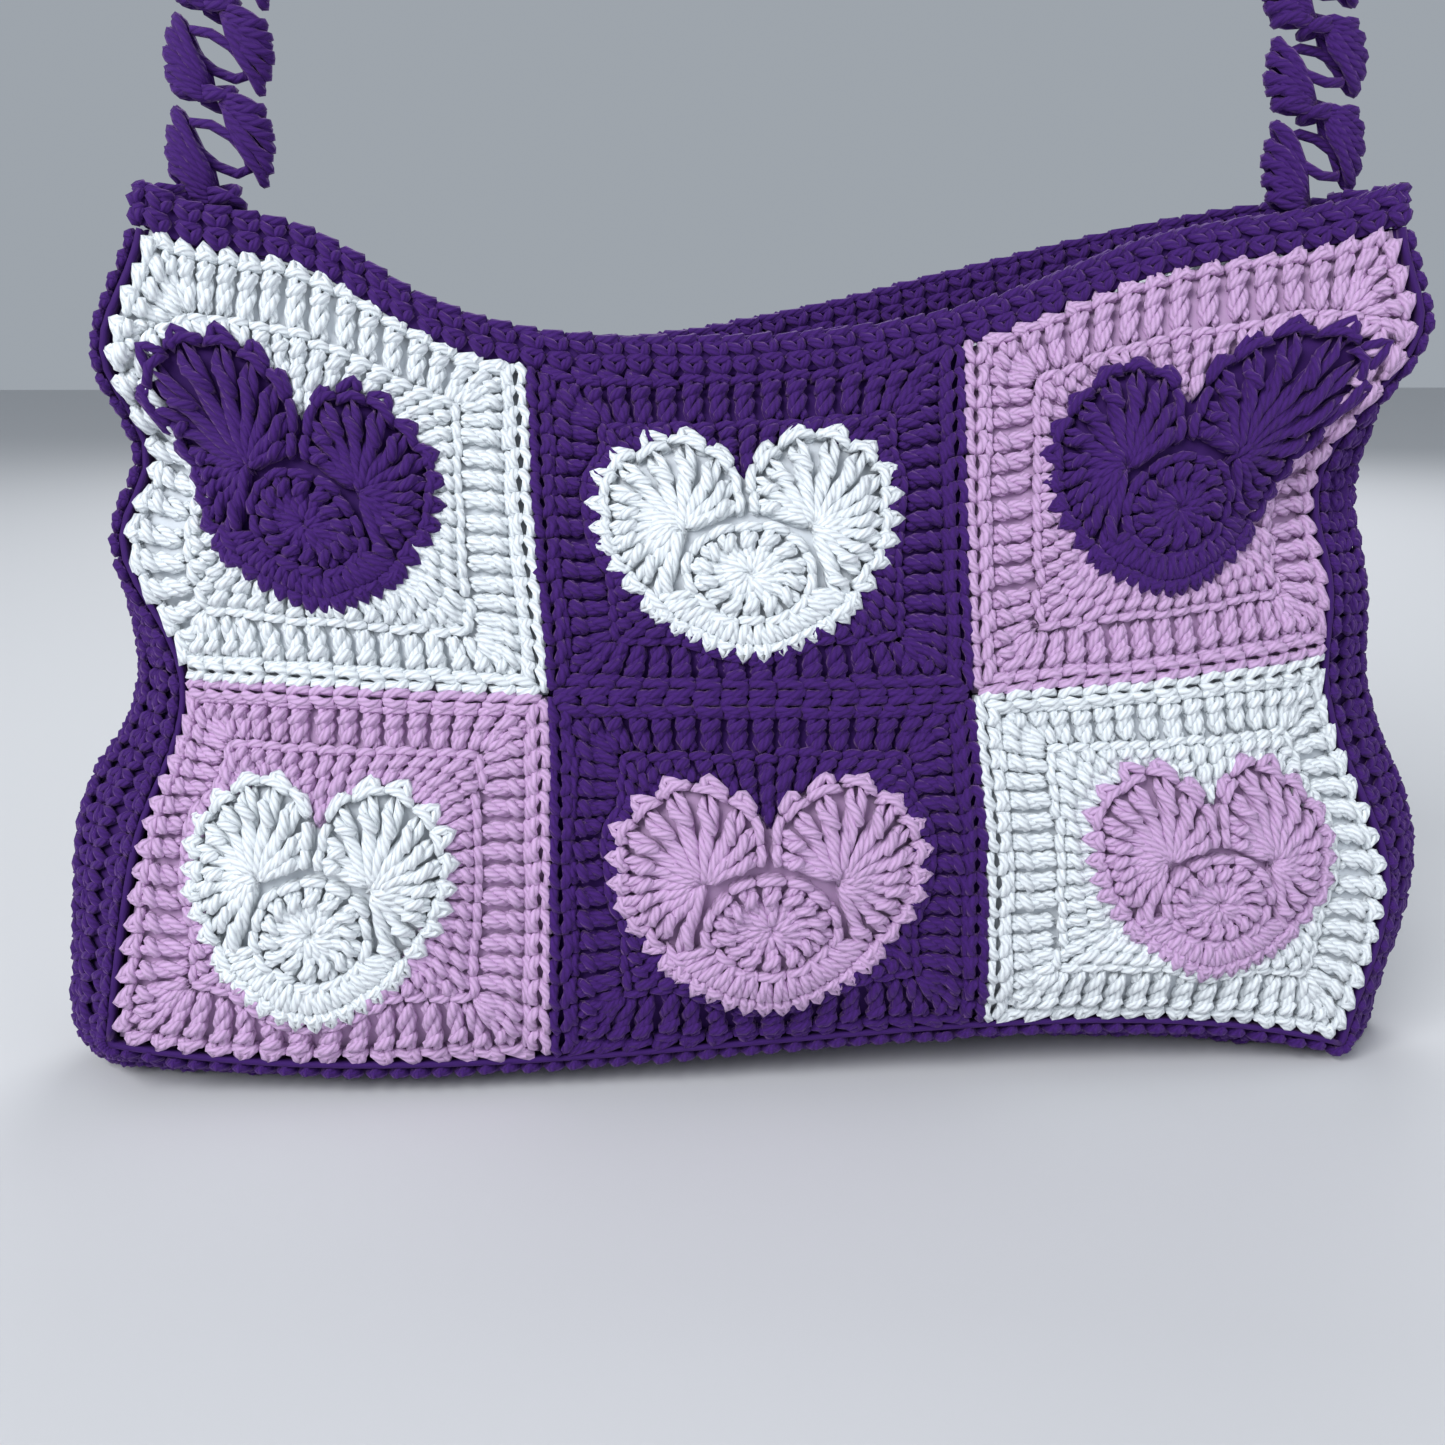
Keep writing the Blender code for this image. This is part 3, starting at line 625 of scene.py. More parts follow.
def square_ring(halves, count):
    """Places round a square ring, count stitches a side from the lower left corner over the bottom.

    halves are its reaches to the bottom, right, top and left.
    """
    share = np.linspace(-1, 1, count + 1)[:-1]
    ring = np.concatenate([
        np.column_stack([share, -np.ones(count)]),
        np.column_stack([np.ones(count), share]),
        np.column_stack([-share, np.ones(count)]),
        np.column_stack([-np.ones(count), -share]),
        [(-1, -1)],
    ])
    bottom, right, top, left = halves
    reach_a = np.where(ring[:, 0] > 0, right, left)
    reach_b = np.where(ring[:, 1] > 0, top, bottom)
    return ring * np.column_stack([reach_a, reach_b])


def eased_ring(half, outer, count):
    """A ring whose stitches stand straight in the middle of a side and lean towards its corners."""
    plain = square_ring((half,) * 4, count)
    share = np.abs(plain) / half
    lean = outer + (plain - outer) * share**3
    return np.where(share > 0.999, plain, lean)


def pushed_ring(ring, place, pull_side, clearance, limit):
    """A ring moved out where the heart would reach past it, up to a square's reach."""
    middle = np.array((place.a, place.b))
    away = ring - middle
    far = np.linalg.norm(away, axis=1)
    line = heart_line(place, angles_from(place, ring), pull_side, 1.0)
    near = np.linalg.norm(line - middle, axis=1) + clearance
    moved = middle + away / far[:, None] * np.maximum(far, near)[:, None]
    over = np.maximum(np.abs(moved).max(axis=1) / limit, 1.0)
    return moved / over[:, None]


def sheet_between(yarn, surface_at, inner, outer, rings, height, wall, keep):
    """Backing cloth between two closed lines of places, left out where keep says no."""
    share = np.linspace(0, 1, rings + 1)[:, None, None]
    places = inner[None] * (1 - share) + outer[None] * share
    count = places.shape[1]
    flat = places.reshape(-1, 2)
    base = surface_at(flat, np.full(len(flat), height))
    above = surface_at(flat, np.full(len(flat), height + MM))
    normals = (above - base) / MM
    quads = []
    for ring in range(rings):
        for k in range(count):
            m = (k + 1) % count
            quad = (ring * count + k, ring * count + m, (ring + 1) * count + m, (ring + 1) * count + k)
            if keep(flat[list(quad)].mean(axis=0)):
                quads.append(quad)
    yarn.backing(base, normals, np.array(quads), wall)


def lay_on(surface, column, row):
    """Turns places in a square into points: halves of a square from its middle, and a height."""
    def lay(place, height):
        x = (column + (1 + place[..., 0]) / 2) * PANEL_STEPS
        y = (row + (1 + place[..., 1]) / 2) * PANEL_STEPS
        return surface.at(x, y, height)
    return lay


def is_clear_of_holes(place):
    """Whether a place lies outside the chain spaces at a square's corners."""
    return (np.abs(np.abs(place) - HOLE_PLACE) > HOLE_REACH / 2).any()


def square_yarn(surface, side, column, row, rng):
    """The surround of a heart: two rounds of stitches, a seam edge and its backing."""
    yarn = Yarn()
    lay = lay_on(surface, column, row)
    place, pull_side = heart_of(side, column, row)
    ring_a = square_ring((ROUND_A_EDGE,) * 4, ROUND_A_STITCHES)
    ring_a = pushed_ring(ring_a, place, pull_side, ROUND_A_CLEARANCE, ROUND_A_LIMIT)
    inner = heart_line(place, angles_from(place, ring_a), pull_side, UNDER_HEART)
    away = ring_a - (place.a, place.b)
    far = np.linalg.norm(away, axis=1)
    near = np.linalg.norm(inner - (place.a, place.b), axis=1)
    near = np.minimum(near, far - ROUND_A_SHORTEST)
    inner = (place.a, place.b) + away * (near / far)[:, None]
    cells = cells_between(inner, ring_a)
    height = np.linalg.norm(cells[:, 0] + cells[:, 1] - cells[:, 2] - cells[:, 3], axis=1) / 2
    for low, high, template in (
        (0, SHORT_BELOW, SHORT),
        (SHORT_BELOW, TREBLE_FROM, DOUBLE),
        (TREBLE_FROM, np.inf, TREBLE),
    ):
        chosen = cells[(height >= low) & (height < high)]
        if len(chosen):
            crochet(yarn, lay, chosen, template, 0.2 * MM, rng)
    joined = (row > 0, column < 2, row < 1, column > 0)
    edges = [SEAM_BASE if is_seam else OUTER_EDGE for is_seam in joined]
    outer = square_ring(edges, STITCHES_A_SIDE)
    base = eased_ring(ROUND_B_BASE, outer, STITCHES_A_SIDE)
    base = pushed_ring(base, place, pull_side, ROUND_B_CLEARANCE, ROUND_B_LIMIT)
    crochet(yarn, lay, cells_between(base, outer), DOUBLE, 0.5 * MM, rng)
    edges = [SEAM_EDGE if is_seam else OUTER_EDGE + TOOTH_REACH for is_seam in joined]
    border = square_ring(edges, STITCHES_A_SIDE)
    cells = cells_between(outer, border)
    for k, is_seam in enumerate(joined):
        run = cells[k * STITCHES_A_SIDE:(k + 1) * STITCHES_A_SIDE]
        if is_seam:
            crochet(yarn, lay, run, CHAIN, 0.9 * MM, rng, YARN_RADIUS * 1.05)
        else:
            crochet(yarn, lay, run, TOOTH, 0.2 * MM, rng)
    spokes = np.arange(72) * 5.0
    line = heart_line(place, spokes, pull_side, BACKING_SHARE)
    radians = np.radians(spokes)
    reach = BACKING_EDGE / np.maximum(np.abs(np.cos(radians)), np.abs(np.sin(radians)))
    edge = np.column_stack([reach * np.cos(radians), reach * np.sin(radians)])
    sheet_between(yarn, lay, line, edge, 10, -0.5 * MM, BACKING_WALL, is_clear_of_holes)
    return yarn


def heart_of(side, column, row):
    """A square's heart, and the way that its outer lobe is pulled: -1, 0 or 1."""
    if side == "back":
        return PLAIN_PLACE, 0
    return HEART_PLACES[ROWS[row], COLUMNS[column]], (column - 1 if row == 1 else 0)


def heart_yarn(surface, side, column, row, rng):
    """A heart: a round disc, a fan of stitches for each lobe, a lower round and teeth at its edge."""
    yarn = Yarn()
    lay = lay_on(surface, column, row)
    place, pull_side = heart_of(side, column, row)
    scale = np.array((place.wide, place.high))
    centre = np.array((place.a, place.b))
    disc = centre + np.array(DISC_MIDDLE) * scale
    angles = np.radians(np.linspace(0, 360, DISC_STITCHES + 1))
    ring = np.column_stack([np.cos(angles), np.sin(angles)]) * scale
    crochet(yarn, lay, cells_between(disc + ring * DISC_HOLE, disc + ring * DISC_EDGE), DOUBLE, 1.3 * MM, rng)
    teeth = []
    for way in (-1, 1):
        lobe = centre + np.array((LOBE_MIDDLE[0] * way, LOBE_MIDDLE[1])) * scale
        angles = 90 - way * np.linspace(*LOBE_FAN, LOBE_STITCHES + 1)
        radians = np.radians(angles)
        inner = lobe + LOBE_HOLE * np.column_stack([np.cos(radians), np.sin(radians)]) * scale
        outer = to_outline(place, pull_side, lobe, angles)
        over = (outer[:, 0] - centre[0]) * way < CLEFT_GAP
        cut = (centre[0] + CLEFT_GAP * way - lobe[0]) / np.where(over, outer[:, 0] - lobe[0], 1.0)
        outer = np.where(over[:, None], lobe + (outer - lobe) * cut[:, None], outer)
        cells = cells_between(inner, lobe + (outer - lobe) * LOBE_SHARE)
        teeth.append(outer[~over])
        if way < 0:
            cells = cells[:, [1, 0, 3, 2]]
        crochet(yarn, lay, cells, DOUBLE, 1.5 * MM, rng)
    angles = np.linspace(*LOWER_FAN, LOWER_STITCHES + 1)
    radians = np.radians(angles)
    inner = disc + LOWER_BASE * np.column_stack([np.cos(radians), np.sin(radians)]) * scale
    outer = to_outline(place, pull_side, disc, angles)
    crochet(yarn, lay, cells_between(inner, disc + (outer - disc) * LOWER_SHARE), SHORT, 1.2 * MM, rng)
    teeth.append(outer)
    for line in teeth:
        away = line - centre
        cells = cells_between(*(centre + away * share for share in TEETH_SHARES))
        crochet(yarn, lay, cells, TOOTH, 0.9 * MM, rng)
    spokes = np.arange(48) * 7.5
    middle = heart_line(place, spokes, pull_side, 0.03)
    edge = heart_line(place, spokes, pull_side, BACKING_SHARE)
    sheet_between(yarn, lay, middle, edge, 6, -0.2 * MM, BACKING_WALL, lambda place: True)
    return yarn


GUSSET_LINES = 160
GUSSET_ACROSS = 24
GUSSET_ROWS = 10
GUSSET_PITCH = 0.0061
GUSSET_ROW_SHARE = 0.86


def gusset_surface():
    """The gusset's skin, from its left top end round the bottom to its right top end."""
    along = np.linspace(0, 8, GUSSET_LINES + 1)
    inner, outer = gusset_sections(*gusset_place(along))
    outer = resampled(outer, GUSSET_ACROSS + 1)
    inner = resampled(inner, GUSSET_ACROSS + 1)
    return Surface(outer + SHIFT, outer - inner)


def even_places(surface, count):
    """Places along a surface's rows, spaced evenly by length, and the whole length."""
    middle = surface.points[:, surface.points.shape[1] // 2]
    lengths = np.concatenate([[0], np.cumsum(np.linalg.norm(np.diff(middle, axis=0), axis=1))])
    return np.interp(np.linspace(0, lengths[-1], count + 1), lengths, np.arange(len(lengths))), lengths[-1]


def rows_on(yarn, surface, low, high, template, pitch, lift, rng, flip=False):
    """A row of stitches along a surface, between two places across it."""
    length = even_places(surface, 1)[1]
    count = int(round(length / pitch))
    along = even_places(surface, count)[0]
    base = np.column_stack([along, np.full(len(along), low)])
    top = np.column_stack([along, np.full(len(along), high)])
    cells = cells_between(top, base) if flip else cells_between(base, top)

    def lay(place, height):
        return surface.at(place[..., 0], place[..., 1], height)

    crochet(yarn, lay, cells, template, lift, rng)


def surface_sheet(yarn, surface, height, wall):
    """Backing cloth under a whole surface."""
    rows, columns = surface.points.shape[:2]
    points = (surface.points + surface.normals * height).reshape(-1, 3)
    normals = surface.normals.reshape(-1, 3)
    quads = [
        (i * columns + j, (i + 1) * columns + j, (i + 1) * columns + j + 1, i * columns + j + 1)
        for i in range(rows - 1) for j in range(columns - 1)
    ]
    yarn.backing(points, normals, np.array(quads), wall)


GUSSET_STITCH = (
    strand(
        (0.08, -0.10, -0.8), (0.00, 0.10, 0.5), (-0.20, 0.42, 1.1), (-0.34, 0.74, 0.8), (-0.40, 0.98, -0.4)
    ),
    strand((-0.08, -0.08, -0.8), (0.04, 0.14, 0.3), (0.22, 0.46, 0.9), (0.34, 0.76, 0.8), (0.40, 0.98, -0.4)),
    strand((-0.58, 0.92, -0.6), (-0.30, 0.94, 0.6), (0.00, 0.98, 0.9), (0.30, 0.94, 0.5), (0.56, 0.90, -0.6)),
)


def gusset_yarn(rng):
    """Lengthwise rows round the left side, the bottom and the right side."""
    yarn = Yarn()
    surface = gusset_surface()
    step = GUSSET_ACROSS / GUSSET_ROWS
    for row in range(GUSSET_ROWS):
        low = row * step
        high = (row + GUSSET_ROW_SHARE) * step
        is_flipped = row % 2 == 1
        rows_on(yarn, surface, low, high, GUSSET_STITCH, GUSSET_PITCH, -YARN_RADIUS, rng, is_flipped)
    surface_sheet(yarn, surface, -2.4 * MM, 1.4 * MM)
    return yarn


RIM_ACROSS = 24
RIM_PLACES = 91
RIM_LINES = 281
RIM_SHOULDER = 0.65
RIM_BEVEL = 0.28
RIM_PITCH = 0.0072
RIM_ROWS = ((0.0, 4.4), (4.8, 9.6))
RIM_TOP_ROW = (9.4, 14.6)


def rim_surface():
    """The rim's skin: up its outside, over its top and down its inside, once round the mouth."""
    u = np.linspace(0, 3, RIM_PLACES)
    high = np.full(RIM_PLACES, 2.0)
    ends = gusset_ends()
    stations = []
    for side, us, end in (("front", u, 1), ("back", u[::-1], 0)):
        up, out = axes_of(side)
        base = panel_points(side, us, high) + up * SEAM_GAP
        stations += [(p - out * RIM_WALL / 2, p + out * RIM_WALL / 2, up) for p in base]
        inner = ends[0][end]
        outer = ends[1][end]
        if side == "back":
            inner = inner[::-1]
            outer = outer[::-1]
        other = axes_of("back" if side == "front" else "front")[0]
        last = len(inner) - 1
        for k in range(last + 1):
            if k in (1, last - 1):
                continue
            way = up + (other - up) * k / last
            way = way / np.linalg.norm(way)
            inside = inner[1] if k == 0 else inner[last - 1] if k == last else inner[k]
            stations.append((inside + way * SEAM_GAP, outer[k] + way * SEAM_GAP, way))
    sections = []
    shoulder = RIM_SHOULDER * RIM_HEIGHT
    for inside, outside, up in stations:
        sections.append((
            outside,
            outside + up * shoulder,
            outside + (inside - outside) * RIM_BEVEL + up * RIM_HEIGHT,
            inside + (outside - inside) * RIM_BEVEL + up * RIM_HEIGHT,
            inside + up * shoulder,
            inside,
        ))
    sections.append(sections[0])
    sections = np.array(sections)
    middle = sections.mean(axis=1, keepdims=True)
    even = resampled(sections, RIM_ACROSS + 1)
    loop = resampled(np.swapaxes(even, 0, 1), RIM_LINES)
    points = np.swapaxes(loop, 0, 1)
    centre = np.swapaxes(resampled(np.swapaxes(middle, 0, 1), RIM_LINES), 0, 1)
    return Surface(points + SHIFT, points - centre)


def rim_yarn(rng):
    """Two rounds of short stitches and a chain of loops along the top, seen from both sides."""
    yarn = Yarn()
    surface = rim_surface()
    for low, high in RIM_ROWS:
        for start, end in ((low, high), (RIM_ACROSS - low, RIM_ACROSS - high)):
            rows_on(yarn, surface, start, end, GUSSET_STITCH, RIM_PITCH, -YARN_RADIUS, rng)
    rows_on(yarn, surface, *RIM_TOP_ROW, CHAIN, RIM_PITCH, -YARN_RADIUS, rng)
    surface_sheet(yarn, surface, -1.6 * MM, 0.6 * MM)
    return yarn


ARCH_STEPS = 720
STEPS_A_CLUSTER = 8
FOOT_SINK = 0.004


def strap_clusters():
    """Angles along the arch at even lengths, STEPS_A_CLUSTER to a cluster, and the count of clusters."""
    angles = np.linspace(0, math.pi, ARCH_STEPS + 1)
    x = -ARCH_SPAN * np.cos(angles)
    z = ARCH_HEIGHT * np.sin(angles)
    lengths = np.concatenate([[0], np.cumsum(np.hypot(np.diff(x), np.diff(z)))])
    count = int(round(lengths[-1] / CLUSTER_PITCH))
    return np.interp(np.linspace(0, lengths[-1], count * STEPS_A_CLUSTER + 1), lengths, angles), count


STRAP_ANGLES, CLUSTERS = strap_clusters()


def strap_lay(place, height):
    """Points on the strap: along in clusters, across in metres outward, and height over its middle."""
    angle = np.interp(place[..., 0] * STEPS_A_CLUSTER, np.arange(len(STRAP_ANGLES)), STRAP_ANGLES)
    zero = np.zeros_like(angle)
    outward = np.stack([-ARCH_HEIGHT * np.cos(angle), zero, ARCH_SPAN * np.sin(angle)], axis=-1)
    outward /= np.linalg.norm(outward, axis=-1, keepdims=True)
    centre = np.stack([-ARCH_SPAN * np.cos(angle), zero, ARCH_HEIGHT * np.sin(angle)], axis=-1)
    turn = (math.pi / 2 * np.sin(angle) ** 2)[..., None]
    level = np.array((0.0, 1.0, 0.0))
    wide = outward * np.cos(turn) + level * np.sin(turn)
    thick = outward * np.sin(turn) - level * np.cos(turn)
    points = centre + ARCH_MIDDLE + SHIFT + wide * place[..., 1:2] + thick * height[..., None]
    for foot, away in ((FEET[0], place[..., 0]), (FEET[1], CLUSTERS - place[..., 0])):
        drop = ARCH_MIDDLE[2] - foot[2] + FOOT_SINK
        points[..., 2] -= drop * np.clip(1 - away, 0, 1.3) ** 2
    return points


STRAP_FAN = 5
FAN_REACH = 11.0
FAN_BOW = 2.2
FAN_START = 0.10
FAN_SPAN = 0.72

# A row for each loop round the strap: half its width and its lift in millimetres, and its lean and its
# place after a knot in clusters
Loop = namedtuple("Loop", "wide lift lean at")
STRAP_LOOPS = (Loop(5.4, 3.0, 0.10, 0.0), Loop(4.2, 3.4, -0.06, 0.07), Loop(8.0, 2.4, 0.24, 0.5))


def fan_strand(knot, way, reach, end, twist):
    """A strand from a knot's front round one edge of the strap to the knot's back."""
    share = np.linspace(0, 1, 12)
    swing = np.sin(math.pi * share)
    along = knot + (end - knot) * swing**0.85 + 0.045 * np.sin(2 * math.pi * (1.5 * share + twist))
    across = way * (0.6 + (reach - 0.6) * swing) * MM
    lift = (2.2 + 0.5 * np.cos(2 * math.pi * (1.5 * share + twist))) * np.cos(math.pi * share) * MM
    lift += np.sign(lift) * 1.1 * MM * np.sin(2 * math.pi * share) ** 2
    return np.column_stack([along, across, lift])


def strap_yarn(rng):
    """Each knot sends a fan of strands to one edge, and the next knot sends one to the other edge."""
    yarn = Yarn()
    knots = np.arange(CLUSTERS)
    shapes = []
    for k in range(STRAP_FAN):
        share = k / (STRAP_FAN - 1)
        for twist in (0.0, 0.5):
            reach = FAN_REACH + FAN_BOW * math.sin(math.pi * share)
            end = FAN_START + FAN_SPAN * share
            shapes.append(fan_strand(1.0, -1, reach + 0.6, 1.0 - end, twist))
            shapes.append(fan_strand(0.0, 1, reach, end, twist + 0.25))
    for shape in shapes:
        place = np.broadcast_to(shape[None, :, :2], (CLUSTERS, len(shape), 2)).copy()
        place[..., 0] += knots[:, None] + rng.normal(0, 0.02, (CLUSTERS, 1))
        height = shape[None, :, 2] + rng.normal(0, 0.12 * MM, (CLUSTERS, 1))
        yarn.strands(strap_lay(place, height), YARN_RADIUS)
    t = np.linspace(0, 1, 10)
    angle = 2 * math.pi * t
    for loop in STRAP_LOOPS:
        along = loop.at + loop.lean * np.sin(angle + 0.6)
        shape = np.column_stack([along, loop.wide * MM * np.cos(angle), loop.lift * MM * np.sin(angle)])
        place = np.broadcast_to(shape[None, :, :2], (CLUSTERS, 10, 2)).copy()
        place[..., 0] += knots[:, None]
        height = np.broadcast_to(shape[None, :, 2], (CLUSTERS, 10))
        yarn.strands(strap_lay(place, height), YARN_RADIUS)
    return yarn


# The lining's reach inside the panels, in squares across and from its top down
LINING_ACROSS = (0.22, 2.78)
LINING_DOWN = (1.88, 0.10)
LINING_COLUMNS = 41
LINING_LEVELS = 25


def lining_mesh():
    """An open pouch of thin cloth inside the squares, closed along the gusset's bottom."""
    yarn = Yarn()
    u = np.linspace(*LINING_ACROSS, LINING_COLUMNS)
    levels = np.linspace(*LINING_DOWN, LINING_LEVELS)
    lines = {}
    for side in ("front", "back"):
        out = axes_of(side)[1]
        behind = out * (WALL / 2 + LINING_EASE)
        lines[side] = [panel_points(side, u, np.full(LINING_COLUMNS, v)) - behind for v in levels]
    inner = gusset_sections(u, np.zeros(LINING_COLUMNS), np.full(LINING_COLUMNS, 90.0), 2 + u)[0]
    floor = inner[:, inner.shape[1] // 2] + np.array((0, 0, 2 * SEAM_GAP))
    points = np.array(lines["front"] + [floor] + lines["back"][::-1]) + SHIFT
    middle = points.mean(axis=(0, 1), keepdims=True)
    surface = Surface(points, points - middle)
    surface_sheet(yarn, surface, 0.0, LINING_WALL)
    return yarn


def node(tree, kind, **inputs):
    """A shader node with its plain input values set by name."""
    made = tree.nodes.new(kind)
    for name, value in inputs.items():
        made.inputs[name.replace("_", " ")].default_value = value
    return made


def maths(tree, operation, first, second=None):
    """A Math node between sockets or numbers."""
    made = tree.nodes.new("ShaderNodeMath")
    made.operation = operation
    for k, value in enumerate((first, second)):
        if value is None:
            continue
        if isinstance(value, (int, float)):
            made.inputs[k].default_value = value
        else:
            tree.links.new(value, made.inputs[k])
    return made.outputs[0]


def yarn_material(name):
    """Plied yarn: rounded plies that wind round each strand, with fine fibres, a soft sheen, painted shade in
    the grooves between plies and painted highlight on their crests.
    """
    colour = YARNS[name]
    material = bpy.data.materials.new(name + "_yarn")
    material.use_nodes = True
    tree = material.node_tree
    shader = tree.nodes["Principled BSDF"]
    shader.inputs["Roughness"].default_value = 0.82
    shader.inputs["Specular IOR Level"].default_value = 0.25
    shader.inputs["Sheen Weight"].default_value = 0.25
    shader.inputs["Sheen Roughness"].default_value = 0.45
    shader.inputs["Sheen Tint"].default_value = (*SHEENS[name], 1.0)
    uv = tree.nodes.new("ShaderNodeUVMap")
    uv.uv_map = "yarn"
    split = tree.nodes.new("ShaderNodeSeparateXYZ")
    tree.links.new(uv.outputs[0], split.inputs[0])
    turns = maths(tree, "MULTIPLY", split.outputs[1], float(PLIES))
    length = maths(tree, "MULTIPLY", split.outputs[0], 1 / PLY_PITCH)
    phase = maths(tree, "ADD", turns, length)
    ply = maths(tree, "ABSOLUTE", maths(tree, "SINE", maths(tree, "MULTIPLY", phase, math.pi)))
    join = tree.nodes.new("ShaderNodeCombineXYZ")
    tree.links.new(maths(tree, "MULTIPLY", phase, 5.0), join.inputs[0])
    tree.links.new(maths(tree, "MULTIPLY", split.outputs[0], 120.0), join.inputs[1])
    fibre = node(tree, "ShaderNodeTexNoise", Scale=1.0, Detail=2.0)
    tree.links.new(join.outputs[0], fibre.inputs["Vector"])
    ply_height = maths(tree, "MULTIPLY", ply, 0.75)
    fibre_height = maths(tree, "MULTIPLY", fibre.outputs[0], 0.5)
    height = maths(tree, "ADD", ply_height, fibre_height)
    bump = node(tree, "ShaderNodeBump", Strength=0.7, Distance=0.0005)
    tree.links.new(height, bump.inputs["Height"])
    tree.links.new(bump.outputs[0], shader.inputs["Normal"])
    geometry = tree.nodes.new("ShaderNodeTexCoord")
    patch = node(tree, "ShaderNodeTexNoise", Scale=60.0, Detail=2.0)
    tree.links.new(geometry.outputs["Object"], patch.inputs["Vector"])
    # Painted shade and highlight: the base colour darkens in the grooves between the plies and lightens on
    # their crests, mixed with fibre noise and random patches of tone
    ply_shade_tone = maths(tree, "MULTIPLY", height, 0.55)
    patch_tone = maths(tree, "MULTIPLY", patch.outputs[0], 0.25)
    tone = maths(tree, "ADD", ply_shade_tone, patch_tone)
    ramp = tree.nodes.new("ShaderNodeMix")
    ramp.data_type = "RGBA"
    ramp.inputs["A"].default_value = (*[DARKEST_YARN_WITH_GROOVE_SHADE * c for c in colour], 1.0)
    ramp.inputs["B"].default_value = (*[min(1.0, LIGHTEST_YARN_WITH_CREST_HIGHLIGHT * c) for c in colour], 1.0)
    tree.links.new(tone, ramp.inputs["Factor"])
    tree.links.new(ramp.outputs["Result"], shader.inputs["Base Color"])
    return material


def lining_material():
    """Thin dark cloth with a fine pale speckle."""
    material = bpy.data.materials.new("lining_cloth")
    material.use_nodes = True
    tree = material.node_tree
    shader = tree.nodes["Principled BSDF"]
    shader.inputs["Roughness"].default_value = 0.9
    coordinates = tree.nodes.new("ShaderNodeTexCoord")
    speck = node(tree, "ShaderNodeTexNoise", Scale=1400.0, Detail=1.0)
    tree.links.new(coordinates.outputs["Object"], speck.inputs["Vector"])
    share = maths(tree, "GREATER_THAN", speck.outputs[0], 0.62)
    mix = tree.nodes.new("ShaderNodeMix")
    mix.data_type = "RGBA"
    mix.inputs["A"].default_value = (*LINING_COLOUR, 1.0)
    mix.inputs["B"].default_value = (*SPECKLE_COLOUR, 1.0)
    tree.links.new(share, mix.inputs["Factor"])
    tree.links.new(mix.outputs["Result"], shader.inputs["Base Color"])
    bump = node(tree, "ShaderNodeBump", Strength=0.4, Distance=0.0003)
    tree.links.new(speck.outputs[0], bump.inputs["Height"])
    tree.links.new(bump.outputs[0], shader.inputs["Normal"])
    return material


def add_piece(name, yarn, material, cad_node):
    """Makes the piece's object, rides it on the body and hides its CAD node in its place."""
    mesh = yarn.mesh(name)
    mesh.materials.append(material)
    piece = bpy.data.objects.new(name, mesh)
    bpy.context.scene.collection.objects.link(piece)
    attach(piece, "root")
    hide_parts(cad_node)
    return piece


def make_bag():
    """Works every piece of the bag, each with its own seed."""
    materials = {name: yarn_material(name) for name in YARNS}
    seed = 0
    for side in PANELS:
        surface = panel_surface(side)
        for row, row_name in enumerate(ROWS):
            pattern = PATTERN[row_name] if side == "front" else PATTERN[row_name][::-1]
            for column, column_name in enumerate(COLUMNS):
                name = f"{side}_{row_name}_{column_name}"
                for part, make, yarn in (
                    ("square", square_yarn, pattern[column][0]),
                    ("heart", heart_yarn, pattern[column][1]),
                ):
                    seed += 1
                    worked = make(surface, side, column, row, np.random.default_rng(seed))
                    cad_node = f"{name}_{part}"
                    add_piece(f"{cad_node}_yarn", worked, materials[yarn], cad_node)
    for name, make in (("gusset", gusset_yarn), ("rim", rim_yarn), ("strap", strap_yarn)):
        seed += 1
        add_piece(f"{name}_yarn", make(np.random.default_rng(seed)), materials["purple"], name)
    add_piece("lining_cloth", lining_mesh(), lining_material(), "lining")


# The photograph's camera, found from the floor's vanishing lines and the squares' corners
CAMERA_PLACE = (-0.0368, -0.4190, -0.2450)
CAMERA_ANGLES = (75.2, 0.0, -3.0)
SENSOR = 36.0
LENS = 36.0


def make_camera():
    """The camera that takes the photograph's view."""
    data = bpy.data.cameras.new("camera")
    data.sensor_width = SENSOR
    data.lens = LENS
    data.clip_start = 0.01
    camera = bpy.data.objects.new("camera", data)
    camera.location = CAMERA_PLACE
    camera.rotation_euler = [math.radians(angle) for angle in CAMERA_ANGLES]
    bpy.context.scene.collection.objects.link(camera)
    bpy.context.scene.camera = camera


FLOOR_REACH = 6.0
FLOOR_COLOUR = (0.62, 0.62, 0.63, 1.0)


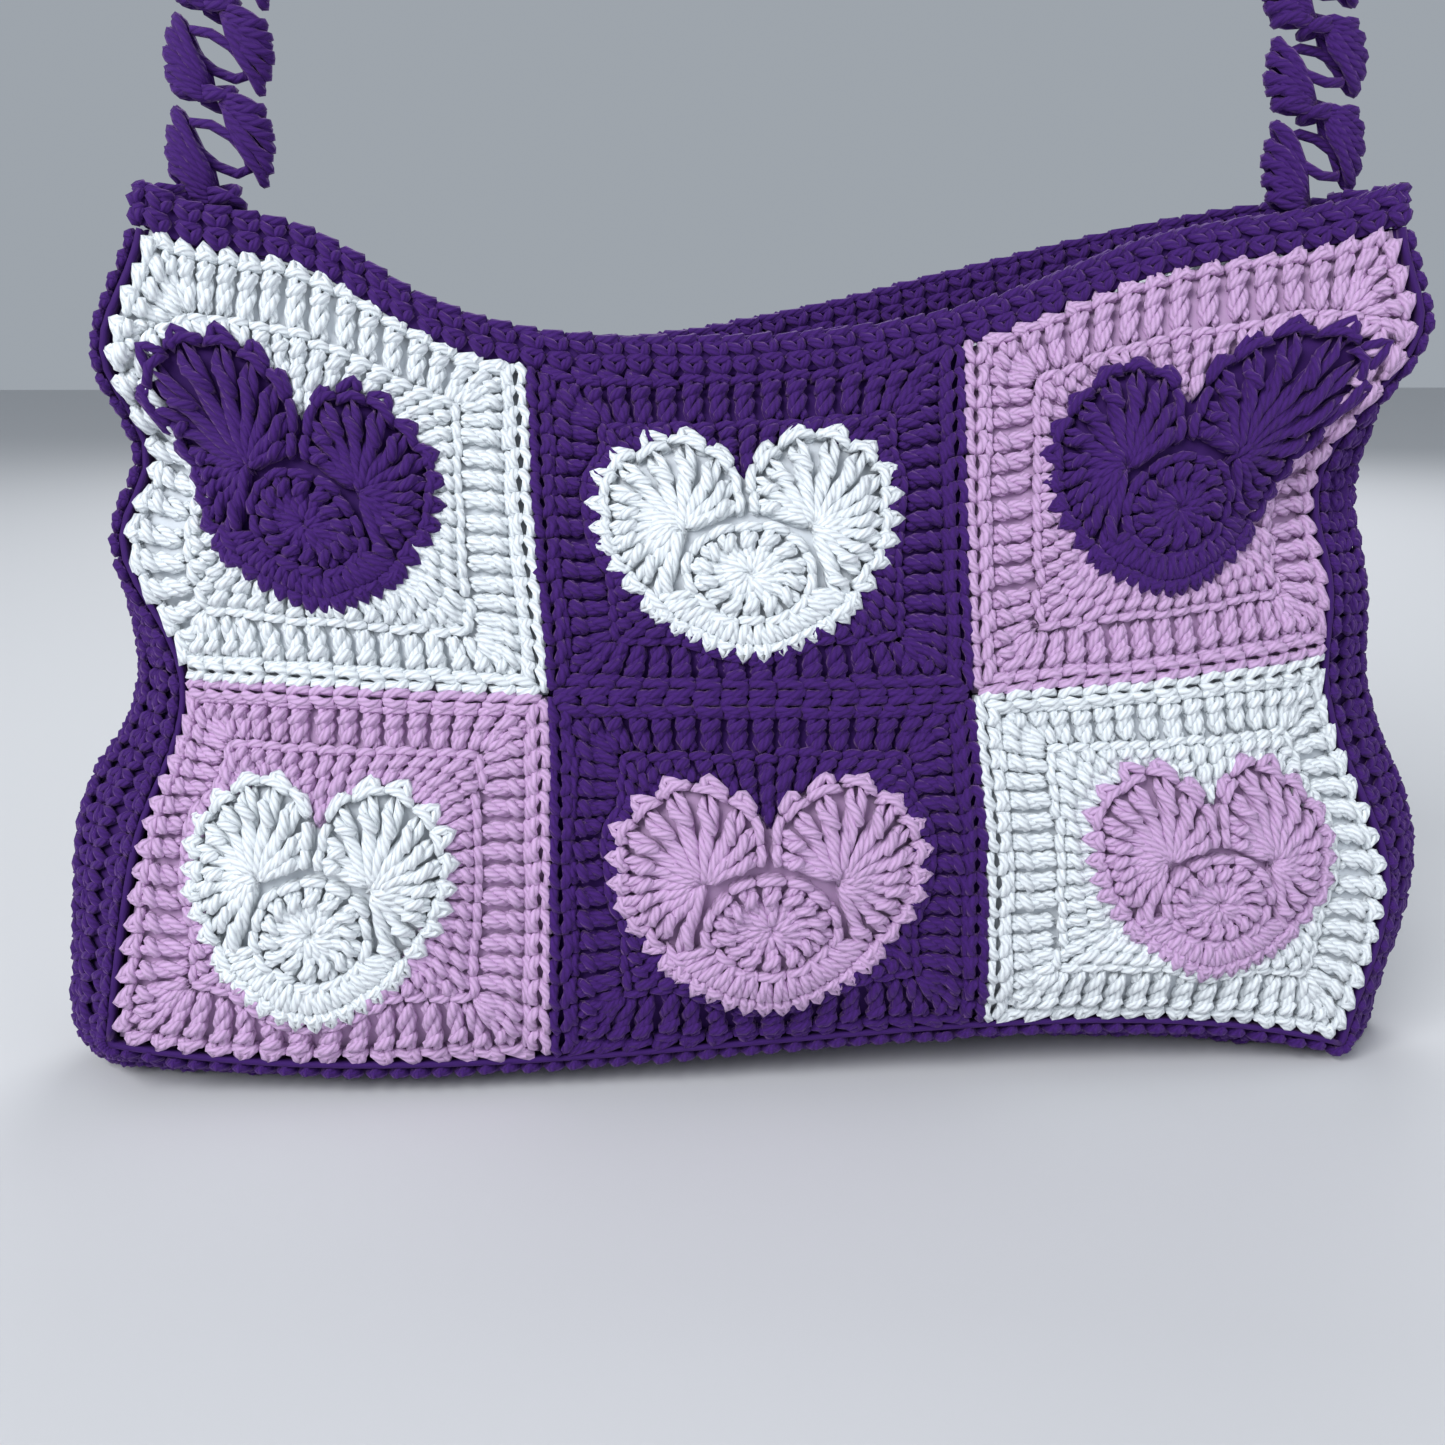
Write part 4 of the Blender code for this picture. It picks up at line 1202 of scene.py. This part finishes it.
def make_floor(low):
    """A plain pale floor at a height."""
    mesh = bpy.data.meshes.new("floor")
    corners = [(x * FLOOR_REACH, y * FLOOR_REACH, low) for x, y in ((-1, -1), (1, -1), (1, 1), (-1, 1))]
    mesh.from_pydata(corners, [], [(0, 1, 2, 3)])
    material = bpy.data.materials.new("floor")
    material.use_nodes = True
    shader = material.node_tree.nodes["Principled BSDF"]
    shader.inputs["Base Color"].default_value = FLOOR_COLOUR
    shader.inputs["Roughness"].default_value = 0.8
    mesh.materials.append(material)
    floor = bpy.data.objects.new("floor", mesh)
    bpy.context.scene.collection.objects.link(floor)


# A row for each soft light aimed at the bag, with its size in metres and its power in watts
Light = namedtuple("Light", "name place size power colour")
LIGHTS = (
    Light("key", (-1.1, -1.3, 0.9), 1.2, 42.0, (0.96, 0.98, 1.0)),
    Light("fill", (1.5, -1.2, 0.3), 1.6, 12.0, (0.92, 0.95, 1.0)),
    Light("back", (0.3, 1.6, 0.9), 1.4, 20.0, (0.95, 0.97, 1.0)),
)
LIGHT_AIM = Vector((0.0, -0.02, -0.30))
WORLD_COLOUR = (0.62, 0.68, 0.75, 1.0)
WORLD_STRENGTH = 0.55


def make_lights():
    """Three soft square lights and an even, pale sky."""
    for light in LIGHTS:
        data = bpy.data.lights.new(light.name, "AREA")
        data.shape = "SQUARE"
        data.size = light.size
        data.energy = light.power
        data.color = light.colour
        lamp = bpy.data.objects.new(light.name, data)
        lamp.location = light.place
        lamp.rotation_euler = (LIGHT_AIM - lamp.location).to_track_quat("-Z", "Y").to_euler()
        bpy.context.scene.collection.objects.link(lamp)
    world = bpy.data.worlds.new("studio")
    world.use_nodes = True
    background = world.node_tree.nodes["Background"]
    background.inputs["Color"].default_value = WORLD_COLOUR
    background.inputs["Strength"].default_value = WORLD_STRENGTH
    bpy.context.scene.world = world


bpy.context.scene.view_settings.view_transform = "Standard"
make_camera()
make_bag()
visual_box = [list(corner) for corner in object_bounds()]
make_floor(visual_box[0][2])
make_lights()
